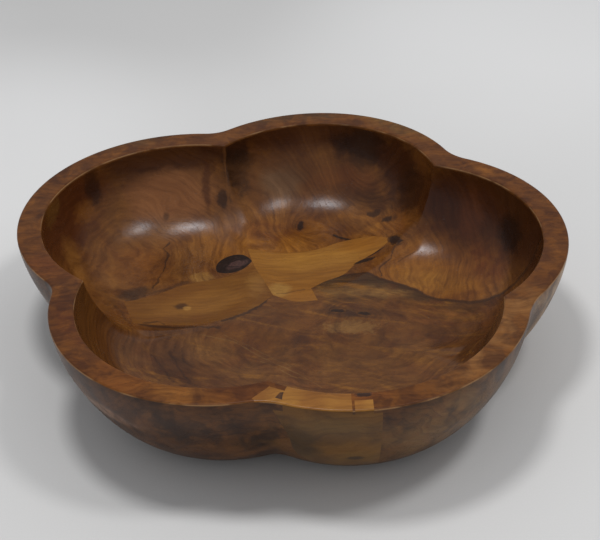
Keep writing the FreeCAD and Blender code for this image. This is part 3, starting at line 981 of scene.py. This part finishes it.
# Knots that the rings of the hollow bulge round: centre, spread, strength
KNOT_BULGES = (
    ((8.0, 112.0, 22.0), 16.0, 16.0),
    ((-40.0, 69.0, 20.0), 22.0, 12.0),
    ((-87.0, 115.0, 35.0), 9.0, 9.0),
    ((38.0, 4.0, 20.0), 20.0, -8.0),
    ((75.0, 101.0, 26.0), 12.0, 9.0),
    ((57.0, 146.0, 66.0), 30.0, 46.0),
)
# Border between the front and the rear wood, from left to right, seen from above
BORDER_COURSE = ((-170, 0), (-115, 2), (-62, -2), (-24, 16), (-5, 28), (12, 36), (30, 47),
                 (45, 49), (60, 42), (80, 29), (95, 16), (112, 8), (140, 2), (170, 0))
BORDER_LEFT, BORDER_LENGTH = -170.0, 340.0     # the stretch that the border's curve covers
BORDER_FRONT, BORDER_DEPTH = -50.0, 120.0


def knot_bulges(b, place):
    """Push of all knots on the rings, and the dark eyes in their middles."""
    push = None
    eye = None
    for centre, spread, strength in KNOT_BULGES:
        swirl = use(b, knot_swirl, Place=place, Centre=centre, Spread=spread,
                    Strength=strength)
        push = swirl["Push"] if push is None else b.math("ADD", push, swirl["Push"])
        eye = swirl["Eye"] if eye is None else b.math("MAXIMUM", eye, swirl["Eye"])
    return push, eye


def border_line(b, x):
    """How far back the border between the two kinds of wood lies at each x."""
    across = b.math("DIVIDE", b.math("ADD", x, -BORDER_LEFT), BORDER_LENGTH)
    border = b.tree.nodes.new("ShaderNodeFloatCurve")
    curve = border.mapping.curves[0]
    while len(curve.points) < len(BORDER_COURSE):
        curve.points.new(0.5, 0.5)
    for point, (px, py) in zip(curve.points, BORDER_COURSE):
        point.location = ((px - BORDER_LEFT) / BORDER_LENGTH, (py - BORDER_FRONT) / BORDER_DEPTH)
    border.mapping.update()
    b.feed(border.inputs["Value"], across)
    return b.math("MULTIPLY_ADD", border.outputs[0], BORDER_DEPTH, BORDER_FRONT)


def rear_wood(b, place, loose_place):
    """Ground of the rear and the sides of the hollow."""
    colour = stained(b, loose_place, MID_BROWN, HOLLOW_TONES)
    colour = clouded(b, place, colour, 24.0, 0.55, RED_BROWN)
    return clouded(b, loose_place, colour, 9.0, 0.35, PALE_FLECK)


def front_wood(b, place, loose_place, behind):
    """Ground of the front of the hollow, with golden streaks along its grain."""
    colour = b.blend(b.step(behind, -70.0, -8.0), *FRONT_GROUND)
    colour = stained(b, loose_place, colour, FRONT_TONES)
    colour = clouded(b, place, colour, 20.0, 0.55, RED_BROWN)
    streaky = b.vector("MULTIPLY", b.turn(place, 0.35), (0.22, 1.2, 1.0))
    gold = b.noise(streaky, 0.085, 5.0, 0.62, 1.2)
    colour = b.blend(b.step(gold, 0.50, 0.70, 0.0, 0.8), colour, GOLD_STREAK)
    return clouded(b, loose_place, colour, 7.0, 0.28, DARK_FLECK)


def inside_finish():
    """The hollow: five gouged lobes through root wood of several colours."""
    material, b, place, shader = new_finish("root wood inside", 0.28)
    push, eyes = knot_bulges(b, place)
    front = use(b, timber_figure, Place=place, Heart=(40.0, -20.0, -60.0),
                Stretch=(0.50, 1.0, 1.0), Ring_Width=2.4, Wander=24.0, Wander_Size=74.0,
                Push=push)
    back = use(b, timber_figure, Place=place, Heart=(-150.0, 40.0, -60.0),
               Stretch=(0.8, 0.55, 0.9), Ring_Width=5.2, Wander=44.0, Wander_Size=70.0,
               Push=push)
    x, y, z = b.split(place)
    sway = b.math("SUBTRACT", b.noise(place, 0.055, 3.0, 0.6), 0.5)
    behind = b.math("SUBTRACT", b.math("MULTIPLY_ADD", sway, 7.0, y), border_line(b, x))
    right_side = b.step(x, 0.0, 14.0)
    width = b.math("MULTIPLY_ADD", right_side, -9.0, 11.0)
    at_back = b.step(behind, b.math("MULTIPLY", width, -1.0), width)

    loose_place = b.vector("ADD", place, b.scale(b.drift(place, 0.08), 9.0))
    rear = rear_wood(b, place, loose_place)
    ground = b.blend(at_back, front_wood(b, place, loose_place, behind), rear)
    ground = clouded(b, loose_place, ground, 15.0, 0.30, SMOKE)
    ground = stained(b, loose_place, ground, WALL_TONES)
    ground = veined(b, place, ground, HOLLOW_VEINS)
    ground = stained(b, loose_place, ground, SPOTS)
    # The border shows as a dark line on the right only.
    edge = b.step(b.math("ABSOLUTE", behind), 2.4, 0.6)
    ground = b.blend(b.math("MULTIPLY", b.math("MULTIPLY", edge, right_side), 0.8), ground,
                     BORDER_TONE)
    low_down = b.step(z, 26.0, 48.0, 1.0, 0.3)
    back = {"Bands": back["Bands"], "Fibre": back["Fibre"],
            "Lines": b.math("MULTIPLY", back["Lines"], low_down)}
    rear_fibre = b.math("MULTIPLY_ADD", low_down, 1.1, 0.9)
    colour = b.blend(at_back, figured(b, ground, front, 0.60, 0.50, 2.0),
                     figured(b, ground, back, 0.65, 0.45, rear_fibre))
    colour = b.blend(b.math("MULTIPLY", eyes, 0.6), colour, BARK)
    pores = use(b, open_pores, Place=place, Turn=0.3, Amount=0.6)["Mask"]
    colour = b.blend(b.math("MULTIPLY", pores, 0.5), colour, DEEP_BROWN)

    lines = b.blend(at_back, front["Lines"], back["Lines"])
    relief = b.math("ADD", b.math("MULTIPLY", lines, -0.10), b.math("MULTIPLY", pores, -0.2))
    # The ridge between the two rear lobes on the left is rubbed dull.
    rubbed = use(b, patch_mask, Place=place, Centre=(-43.0, 112.0, 30.0),
                 Half_Size=(9.0, 22.0, 16.0), Ragged=0.3, Grain=14.0, Soft=0.5)["Mask"]
    varnish_over(b, shader, place, colour, 0.27, 0.12, relief, 0.6,
                 b.math("MAXIMUM", pores, rubbed))
    return material


# Tones of the rim and the outside, laid out as those of the hollow are
RIM_TONES = (
    ((-68, -146, 80), (26, 12, 20), (0.205, 0.085, 0.020), 0.85, -28, 0.8, 12, 0.4),
    ((-100, -130, 80), (20, 14, 20), (0.190, 0.068, 0.013), 0.8, -40, 0.9, 10, 0.4),
    ((-132, -70, 80), (12, 26, 20), (0.090, 0.026, 0.008), 0.8, 20, 0.9, 10, 0.4),
    ((-132, -40, 80), (12, 24, 20), (0.060, 0.022, 0.009), 0.7, 0, 0.8, 14, 0.5),
    ((-150, -10, 80), (26, 14, 20), (0.110, 0.034, 0.010), 0.7, 0, 0.8, 14, 0.5),
    ((-172, 60, 80), (12, 20, 20), (0.100, 0.040, 0.013), 0.7, 0, 0.8, 10, 0.5),
    ((-150, 105, 80), (20, 20, 20), (0.085, 0.032, 0.010), 0.7, 0, 0.8, 12, 0.5),
    ((-100, 150, 80), (34, 10, 20), (0.078, 0.036, 0.014), 0.8, 20, 0.8, 12, 0.5),
    ((88, 148, 80), (42, 12, 20), (0.130, 0.074, 0.026), 0.85, -38, 0.5, 12, 0.4),
    ((0, 172, 80), (60, 10, 20), (0.070, 0.036, 0.017), 0.85, 0, 0.8, 14, 0.5),
    ((140, 82, 80), (9, 12, 20), (0.215, 0.085, 0.020), 0.8, 40, 0.5, 8, 0.4),
    ((168, 20, 80), (18, 50, 20), (0.112, 0.042, 0.013), 0.7, 0, 0.8, 14, 0.5),
    ((150, -34, 80), (20, 18, 20), (0.090, 0.034, 0.012), 0.7, 0, 0.8, 12, 0.5),
    ((116, -108, 80), (54, 24, 20), (0.222, 0.108, 0.042), 0.9, 48, 0.6, 16, 0.4),
    ((36, -158, 80), (16, 8, 20), (0.150, 0.050, 0.012), 0.8, 0, 0.9, 8, 0.4),
    ((-30, -150, 80), (20, 10, 20), (0.100, 0.032, 0.008), 0.8, 0, 0.9, 8, 0.4),
)
OUTSIDE_TONES = (
    ((-60, -140, 45), (60, 40, 34), (0.062, 0.026, 0.010), 0.8, 0, 0.8, 24, 0.5),
    # painted reflection: pale pinkish band of floor light along the lower left front of the
    # outside wall
    ((-114, -123, 51), (25, 30, 6), (0.330, 0.215, 0.185), 0.9, -36, 0.4, 14, 0.5),
    ((-40, -150, 30), (18, 40, 14), (0.135, 0.054, 0.012), 0.7, 0, 1.0, 14, 0.5),
    ((-95, -120, 60), (16, 30, 14), (0.130, 0.046, 0.011), 0.7, 0, 1.0, 14, 0.5),
    ((-70, -140, 50), (12, 40, 10), (0.030, 0.013, 0.006), 0.8, 0, 1.0, 10, 0.5),
    ((-20, -150, 42), (16, 40, 12), (0.020, 0.010, 0.005), 0.8, 0, 0.9, 12, 0.5),
    ((20, -150, 40), (38, 50, 50), (0.140, 0.064, 0.014), 0.85, 0, 0.6, 16, 0.35),
    ((95, -130, 45), (52, 60, 40), (0.180, 0.098, 0.036), 0.85, 0, 0.6, 22, 0.4),
    ((120, -100, 30), (20, 40, 14), (0.100, 0.046, 0.016), 0.7, 0, 0.9, 12, 0.4),
    # partly the wood's paler tone, partly a painted reflection: pale greyish sheen on the
    # outside's right
    ((160, -10, 40), (44, 80, 60), (0.370, 0.245, 0.150), 0.9, 0, 0.6, 22, 0.4),
    ((-160, 60, 40), (40, 90, 60), (0.100, 0.050, 0.024), 0.8, 0, 0.6, 22, 0.4),
    ((0, 160, 40), (120, 50, 60), (0.085, 0.036, 0.012), 0.7, 0, 0.7, 30, 0.4),
)


# Heights between which the paler line on the rim's edges, partly wear and partly a painted
# highlight, comes in below, and goes out above
EDGE_WEAR_AND_HIGHLIGHT_LOW = (HEIGHT - 1.5, HEIGHT - 1.0)
EDGE_WEAR_AND_HIGHLIGHT_HIGH = (HEIGHT - 0.25, HEIGHT - 0.6)


def skin_finish(name, ground, tones, roughness, bands, lines, red, gold, gloss):
    """Root wood of the rim and the outside, with its rings lying along the bowl."""
    material, b, place, shader = new_finish(name, gloss)
    figure = use(b, timber_figure, Place=place, Heart=(0.0, -480.0, -220.0),
                 Stretch=(0.10, 1.0, 1.0), Ring_Width=3.4, Wander=26.0, Wander_Size=48.0)
    colour = stained(b, place, ground, tones)
    colour = clouded(b, place, colour, 18.0, 0.75, red)
    colour = clouded(b, b.turn(place, 0.7), colour, 11.0, 0.45, gold)
    colour = figured(b, colour, figure, bands, lines, 1.6)
    height = b.split(place)[2]
    # paler line round the rounded rim edges: partly wear, partly a painted highlight along them
    edge = b.math("MULTIPLY", b.step(height, *EDGE_WEAR_AND_HIGHLIGHT_LOW), b.step(height, *EDGE_WEAR_AND_HIGHLIGHT_HIGH))
    wear_and_highlight = b.math("MULTIPLY", edge, b.step(b.noise(place, 0.06, 3.0), 0.42, 0.60, 0.1, 0.7))
    colour = b.blend(wear_and_highlight, colour, EDGE_WEAR_AND_HIGHLIGHT)
    pores = use(b, open_pores, Place=place, Turn=0.1, Amount=0.8)["Mask"]
    colour = b.blend(b.math("MULTIPLY", pores, 0.45), colour, DEEP_BROWN)
    relief = b.math("ADD", b.math("MULTIPLY", figure["Lines"], -0.10),
                    b.math("MULTIPLY", pores, -0.3))
    varnish_over(b, shader, place, colour, roughness, 0.12, relief, 0.55, pores)
    return material


def plain_piece_finish(name, light, cloud, heart, stretch, ring_width, wander,
                       veins=(), tones=()):
    """Finish of one let-in piece of timber."""
    material, b, place, shader = new_finish(name)
    figure = use(b, timber_figure, Place=place, Heart=heart, Stretch=stretch,
                 Ring_Width=ring_width, Wander=wander, Wander_Size=55.0)
    colour = clouded(b, place, light, 24.0, 0.7, cloud)
    colour = stained(b, place, colour, tones)
    colour = figured(b, colour, figure, 0.4, 0.3, 1.1)
    colour = veined(b, place, colour, veins)
    pores = use(b, open_pores, Place=place, Turn=-0.25, Amount=0.7)["Mask"]
    colour = b.blend(b.math("MULTIPLY", pores, 0.4), colour, PORE_TONE)
    varnish_over(b, shader, place, colour, 0.34, 0.10,
                 b.math("MULTIPLY", figure["Lines"], -0.08), 0.5, pores)
    return material


def joint_finish(name, dark, light):
    """Sides of the joints, with their glue and dust."""
    material, b, place, shader = new_finish(name)
    grit = b.noise(place, 0.6, 3.0, 0.6)
    b.feed(shader.inputs["Base Color"], b.blend(grit, dark, light))
    b.feed(shader.inputs["Roughness"], b.step(grit, 0.2, 0.8, 0.55, 0.8))
    raised = b.put("ShaderNodeBump", {"Strength": 0.4, "Distance": GRIT_RELIEF,
                                      "Height": grit})
    b.feed(shader.inputs["Normal"], raised.outputs[0])
    return material


def filler_finish():
    """Dark resin and wood dust pressed into the gaps."""
    material, b, place, shader = new_finish("dark filling")
    grit = b.noise(place, 0.9, 4.0, 0.7)
    blot = b.noise(place, 0.17, 3.0, 0.6)
    colour = b.blend(b.step(blot, 0.38, 0.62), (0.016, 0.008, 0.006), (0.075, 0.030, 0.010))
    colour = b.blend(b.math("MULTIPLY", grit, 0.5), colour, (0.060, 0.027, 0.012))
    varnish_over(b, shader, place, colour, 0.36, 0.10, b.math("MULTIPLY", grit, 0.3), 0.6)
    return material


def smudge_finish(name, centre, half, turn, ground, halo):
    """Dark heart of a knot or filling, breaking up into the wood round it."""
    material, b, place, shader = new_finish(name)
    colour = clouded(b, place, ground, 7.0, 0.6, halo)
    wide = (half[0] * 1.35, half[1] * 1.6, 30.0)
    colour = stained(b, place, colour, (
        (centre, wide, halo, 0.75, turn, 1.8, 4.0, 0.5),
        (centre, (*half, 30.0), KNOT_HEART, 0.92, turn, 2.4, 3.5, 0.4)))
    grit = b.noise(place, 1.1, 3.0, 0.7)
    fine = b.noise(b.vector("MULTIPLY", place, (0.25, 1.3, 1.0)), 0.55, 3.0, 0.65)
    colour = b.scale(colour, b.step(fine, 0.25, 0.75, 0.68, 1.32))
    varnish_over(b, shader, place, colour, 0.30, 0.12, b.math("MULTIPLY", grit, 0.25), 0.6)
    return material


EYE_CHECKS = (
    (((-50, 61), (-42, 72), (-30, 74)), (0.011, 0.005, 0.004), 2.2, 5.0, 0.9),
    (((-44, 67), (-33, 65)), (0.012, 0.006, 0.005), 1.0, 5.0, 0.8),
)


def eye_finish():
    """The big knot: a dark bark ring, a grey heart and short checks."""
    material, b, place, shader = new_finish("eye knot wood")
    sway = b.drift(place, 0.13)
    arm = b.vector("ADD", b.vector("SUBTRACT", place, (-37.5, 69.0, 20.0)),
                   b.scale(sway, 7.0))
    arm = b.turn(arm, math.radians(-20.0))
    off = b.vector("LENGTH", b.vector("MULTIPLY", arm, (0.085, 0.145, 0.0)))
    cloud = b.noise(place, 0.35, 4.0, 0.65)
    colour = b.blend(b.step(off, 0.95, 0.45), EYE_BARK, (0.060, 0.031, 0.036))
    colour = b.blend(b.step(cloud, 0.55, 0.80, 0.0, 0.8), colour, (0.085, 0.046, 0.036))
    rings = b.math("FRACT", b.math("MULTIPLY", off, 5.0))
    colour = b.blend(b.math("MULTIPLY", b.math("POWER", rings, 3.0), 0.7), colour, EYE_BARK)
    colour = veined(b, place, colour, EYE_CHECKS, 5.0)
    varnish_over(b, shader, place, colour, 0.30, 0.10, b.math("MULTIPLY", cloud, 0.4), 0.7)
    return material


LEFT_TONES = (
    ((-100, 15, 20), (18, 16, 20), (0.165, 0.070, 0.014), 0.6, 0, 0.9, 12, 0.5),
    ((-60, 25, 20), (30, 12, 20), (0.235, 0.108, 0.021), 0.6, 10, 0.9, 14, 0.5),
    ((-24, 42, 20), (6, 13, 20), (0.250, 0.130, 0.038), 0.5, 0, 1.8, 5, 0.7),
    ((-75, 23, 20), (4.5, 3.5, 20), (0.050, 0.020, 0.007), 0.85, 0, 1.0, 4, 0.4),
    ((-71, 20, 20), (2.5, 2.5, 20), (0.330, 0.180, 0.050), 0.8, 0, 1.0, 4, 0.4),
)
LEFT_VEINS = (
    (((-110, 8), (-80, 6), (-50, 10), (-30, 22)), (0.120, 0.046, 0.010), 1.2, 6.0, 0.55),
    (((-100, 32), (-70, 40), (-35, 55)), (0.130, 0.052, 0.011), 1.0, 6.0, 0.45),
    (((-99, 2), (-90, 5), (-86, 2)), (0.045, 0.018, 0.007), 1.3, 5.0, 0.7),
)
RIGHT_TONES = (
    ((-14, 60, 20), (13, 22, 20), (0.225, 0.100, 0.018), 0.6, 0, 0.9, 12, 0.5),
    ((20, 70, 20), (34, 12, 20), (0.285, 0.140, 0.030), 0.7, 10, 0.8, 16, 0.5),
    ((52, 86, 20), (16, 7, 20), (0.230, 0.095, 0.015), 0.7, 10, 0.9, 9, 0.5),
    ((-8, 34, 20), (7, 8, 20), (0.330, 0.190, 0.055), 0.8, 30, 0.9, 7, 0.4),
    ((6, 26, 20), (10, 7, 20), (0.235, 0.100, 0.015), 0.8, 0, 0.9, 8, 0.5),
)
RIGHT_VEINS = (
    (((-10, 48), (15, 50), (32, 56)), (0.150, 0.064, 0.014), 1.0, 5.0, 0.5),
    (((-20, 74), (10, 76), (45, 86)), (0.160, 0.066, 0.013), 0.9, 5.0, 0.4),
    (((8, 33), (-4, 29), (-10, 30)), (0.085, 0.034, 0.010), 1.0, 4.0, 0.6),
)
OLIVE_TONES = (
    ((-2, -150, 45), (14, 40, 20), (0.050, 0.030, 0.013), 0.75, 0, 1.0, 10, 0.5),
    ((34, -150, 30), (12, 40, 9), (0.165, 0.088, 0.020), 0.7, 0, 1.0, 9, 0.5),
    ((32, -150, 30), (5, 40, 2.5), (0.030, 0.016, 0.010), 0.8, 0, 0.9, 5, 0.4),
    ((20, -150, 66), (22, 40, 8), (0.150, 0.088, 0.027), 0.6, 0, 0.9, 10, 0.5),
    ((22, -150, 18), (10, 40, 4), (0.170, 0.080, 0.014), 0.7, 0, 1.0, 7, 0.5),
)

inside_wood = inside_finish()
rim_wood = skin_finish(
    "root wood rim", ground=(0.096, 0.035, 0.0095), tones=RIM_TONES, roughness=0.42,
    bands=0.60, lines=0.32, red=(0.056, 0.018, 0.006), gold=(0.190, 0.072, 0.014), gloss=0.15)
outside_wood = skin_finish(
    "root wood outside", ground=(0.078, 0.031, 0.009), tones=OUTSIDE_TONES, roughness=0.38,
    bands=0.60, lines=0.55, red=(0.026, 0.010, 0.004), gold=(0.150, 0.058, 0.013), gloss=0.26)
joint_faces = joint_finish("joint faces", (0.030, 0.013, 0.007), (0.060, 0.026, 0.012))
pale_joint = joint_finish("honey joint faces", (0.120, 0.052, 0.014), (0.190, 0.090, 0.024))
honey_left = plain_piece_finish(
    "honey wood left strip", light=(0.142, 0.059, 0.0095), cloud=(0.140, 0.053, 0.0095),
    heart=(0.0, -260.0, 0.0), stretch=(0.2, 1.0, 1.0), ring_width=5.0, wander=22.0,
    veins=LEFT_VEINS, tones=LEFT_TONES)
honey_right = plain_piece_finish(
    "honey wood right strip", light=(0.215, 0.095, 0.018), cloud=(0.215, 0.090, 0.015),
    heart=(-60.0, 320.0, 0.0), stretch=(0.2, 1.0, 1.0), ring_width=5.0, wander=22.0,
    veins=RIGHT_VEINS, tones=RIGHT_TONES)
honey_rim = plain_piece_finish(
    "honey wood rim patches", light=(0.265, 0.125, 0.026), cloud=(0.190, 0.074, 0.014),
    heart=(0.0, -60.0, 60.0), stretch=(0.3, 1.0, 1.0), ring_width=4.0, wander=20.0)
olive_wall = plain_piece_finish(
    "olive sapwood wall patch", light=(0.165, 0.078, 0.0150), cloud=(0.080, 0.038, 0.009),
    heart=(0.0, -480.0, -220.0), stretch=(0.1, 1.0, 1.0), ring_width=4.5, wander=30.0,
    tones=OLIVE_TONES)

FRONT_KNOT = ((0.105, 0.043, 0.011), (0.062, 0.025, 0.008))
HONEY_FILLING = ((0.190, 0.074, 0.012), (0.075, 0.028, 0.007))
# Smudges: piece, finish, middle, half size, turn, wood round it, halo
SMUDGES = (
    ("back_knot", "back knot wood", (8, 112, 24), (4.6, 2.0), 80,
     (0.130, 0.045, 0.010), (0.060, 0.020, 0.006)),
    ("front_knot_left", "front knot wood left", (30, 7, 20), (4.6, 1.9), 0, *FRONT_KNOT),
    ("front_knot_right", "front knot wood right", (47, 3, 20), (4.2, 2.0), -15, *FRONT_KNOT),
    ("rim_knot", "rim knot wood", (38, -158, 79), (5.0, 2.2), 4,
     (0.165, 0.054, 0.010), (0.110, 0.032, 0.007)),
    ("strip_end_filling", "strip end filling", (74, 80, 20), (6.6, 3.4), 118, *HONEY_FILLING),
    ("streak_filling", "streak filling", (51, 65, 20), (8.5, 2.4), 20, *HONEY_FILLING),
)
PIECE_WOOD = {
    "honey_strip_left": honey_left,
    "honey_strip_right": honey_right,
    "eye_knot": eye_finish(),
    "rim_honey_patch": honey_rim,
    "rim_gap_filling": filler_finish(),
    "rim_triangle_patch": honey_rim,
    "rim_small_patch": honey_rim,
    "olive_wall_patch": olive_wall,
}
for piece, *finish in SMUDGES:
    PIECE_WOOD[piece] = smudge_finish(*finish)


# ---------------------------------------------------------------------------
# Pieces
# ---------------------------------------------------------------------------
SHARP_ANGLE = 38.0     # edges sharper than this stay crisp


def stand_up(name, mesh, skins, node):
    """Put one finished piece in the frame in place of its CAD node."""
    mesh.name = name
    for zone, skin in enumerate(skins):
        mesh.materials[zone] = skin
    mesh.polygons.foreach_set("use_smooth", [True] * len(mesh.polygons))
    mesh.set_sharp_from_angle(angle=math.radians(SHARP_ANGLE))
    piece = loose(name, mesh)
    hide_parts(node)
    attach(piece, "root")


parts = cut_apart()
stand_up("root_wood_body", parts["root_wood_body"],
         (inside_wood, rim_wood, outside_wood, joint_faces), "bowl_body")
# Wood that the outer faces of the rim's pieces continue
UNDER_THE_RIM = {
    "rim_honey_patch": olive_wall,
    "rim_small_patch": olive_wall,
    "rim_gap_filling": olive_wall,
    "rim_triangle_patch": outside_wood,
    "rim_knot": outside_wood,
}
for name, node, _, _, slot in LET_IN:
    wood = PIECE_WOOD[name]
    below = UNDER_THE_RIM.get(name, wood)
    glue = pale_joint if name.startswith("honey_strip") else joint_faces
    stand_up(name, parts[name], (wood, wood, below, glue), node)
for zone in ZONES:
    bpy.data.materials.remove(zone)


# ---------------------------------------------------------------------------
# Table, lamps and camera
# ---------------------------------------------------------------------------
TABLE_HALF = 3.0                 # metres
PAPER = ((0.600, 0.605, 0.614), (0.648, 0.654, 0.664))
# painted shade on the paper far back, painted light at the back right and on the left
PAPER_LIGHT_AND_SHADE = (
    ((-120, 600, 0), (200, 200, 9), (0.550, 0.553, 0.560), 1.0, 0, 0.3, 150, 0.45),
    ((260, 470, 0), (190, 190, 9), (0.700, 0.707, 0.720), 1.0, 0, 0.3, 150, 0.6),
    ((-240, 270, 0), (130, 160, 9), (0.690, 0.697, 0.710), 1.0, 0, 0.3, 150, 0.6),
)
LAMP_SIZE = 0.30
LAMP_COLOUR = (1.0, 0.985, 0.96)
LAMP_AIM = (0.0, 0.0, 0.04)
LAMPS = (                        # name, place, watts
    ("right lamp", (0.72, -0.15, 1.50), 6.8),
    ("top lamp", (-0.17, -0.03, 1.50), 7.9),
)
ROOM_LIGHT = 0.49
CAMERA_PLACE = (0.00615, -0.8864, 0.6599)
CAMERA_DOWN = 34.1               # degrees below level
CAMERA_ROLL = -3.18
CAMERA_LENS = 99.0


def paper_finish():
    """Pale paper with broad soft tones, and broad patches of painted light and shade."""
    material, b, place, shader = new_finish("pale paper")
    cloud = b.noise(place, 0.0035, 2.0, 0.5)
    fibre = b.noise(place, 0.8, 3.0, 0.6)
    colour = stained(b, place, b.blend(cloud, *PAPER), PAPER_LIGHT_AND_SHADE)
    colour = b.scale(colour, b.step(fibre, 0.2, 0.8, 0.985, 1.015))
    b.feed(shader.inputs["Base Color"], colour)
    b.feed(shader.inputs["Roughness"], 0.75)
    return material


def lay_table():
    """Wide sheet of pale paper under the bowl."""
    near, far = -TABLE_HALF, TABLE_HALF
    mesh = bpy.data.meshes.new("table sheet")
    mesh.from_pydata([(near, near, 0), (far, near, 0), (far, far, 0), (near, far, 0)],
                     [], [(0, 1, 2, 3)])
    mesh.update()
    sheet = loose("table_sheet", mesh)
    mesh.materials.append(paper_finish())


def hang_lamp(name, place, power):
    """Round soft lamp aimed at the bowl."""
    lamp = bpy.data.lights.new(name, "AREA")
    lamp.shape = "DISK"
    lamp.size = LAMP_SIZE
    lamp.energy = power
    lamp.color = LAMP_COLOUR
    item = bpy.data.objects.new(name, lamp)
    bpy.context.scene.collection.objects.link(item)
    item.location = place
    aim = Vector(LAMP_AIM) - Vector(place)
    item.rotation_euler = aim.to_track_quat("-Z", "Y").to_euler()


def set_world():
    """Even white light from all sides."""
    world = bpy.data.worlds.new("room")
    bpy.context.scene.world = world
    world.use_nodes = True
    back = world.node_tree.nodes["Background"]
    back.inputs["Color"].default_value = (1.0, 1.0, 1.0, 1.0)
    back.inputs["Strength"].default_value = ROOM_LIGHT


def set_camera():
    """Camera in front of the bowl, looking down on it."""
    lens = bpy.data.cameras.new("camera")
    lens.lens = CAMERA_LENS
    lens.sensor_width = 36.0
    lens.clip_start = 0.05
    camera = bpy.data.objects.new("camera", lens)
    bpy.context.scene.collection.objects.link(camera)
    tilt = math.pi / 2 - math.radians(CAMERA_DOWN)
    camera.matrix_world = (Matrix.Translation(CAMERA_PLACE)
                           @ Matrix.Rotation(tilt, 4, "X")
                           @ Matrix.Rotation(math.radians(CAMERA_ROLL), 4, "Z"))
    bpy.context.scene.camera = camera


lay_table()
for name, place, power in LAMPS:
    hang_lamp(name, place, power)
set_world()
set_camera()
bpy.context.scene.view_settings.view_transform = "Standard"
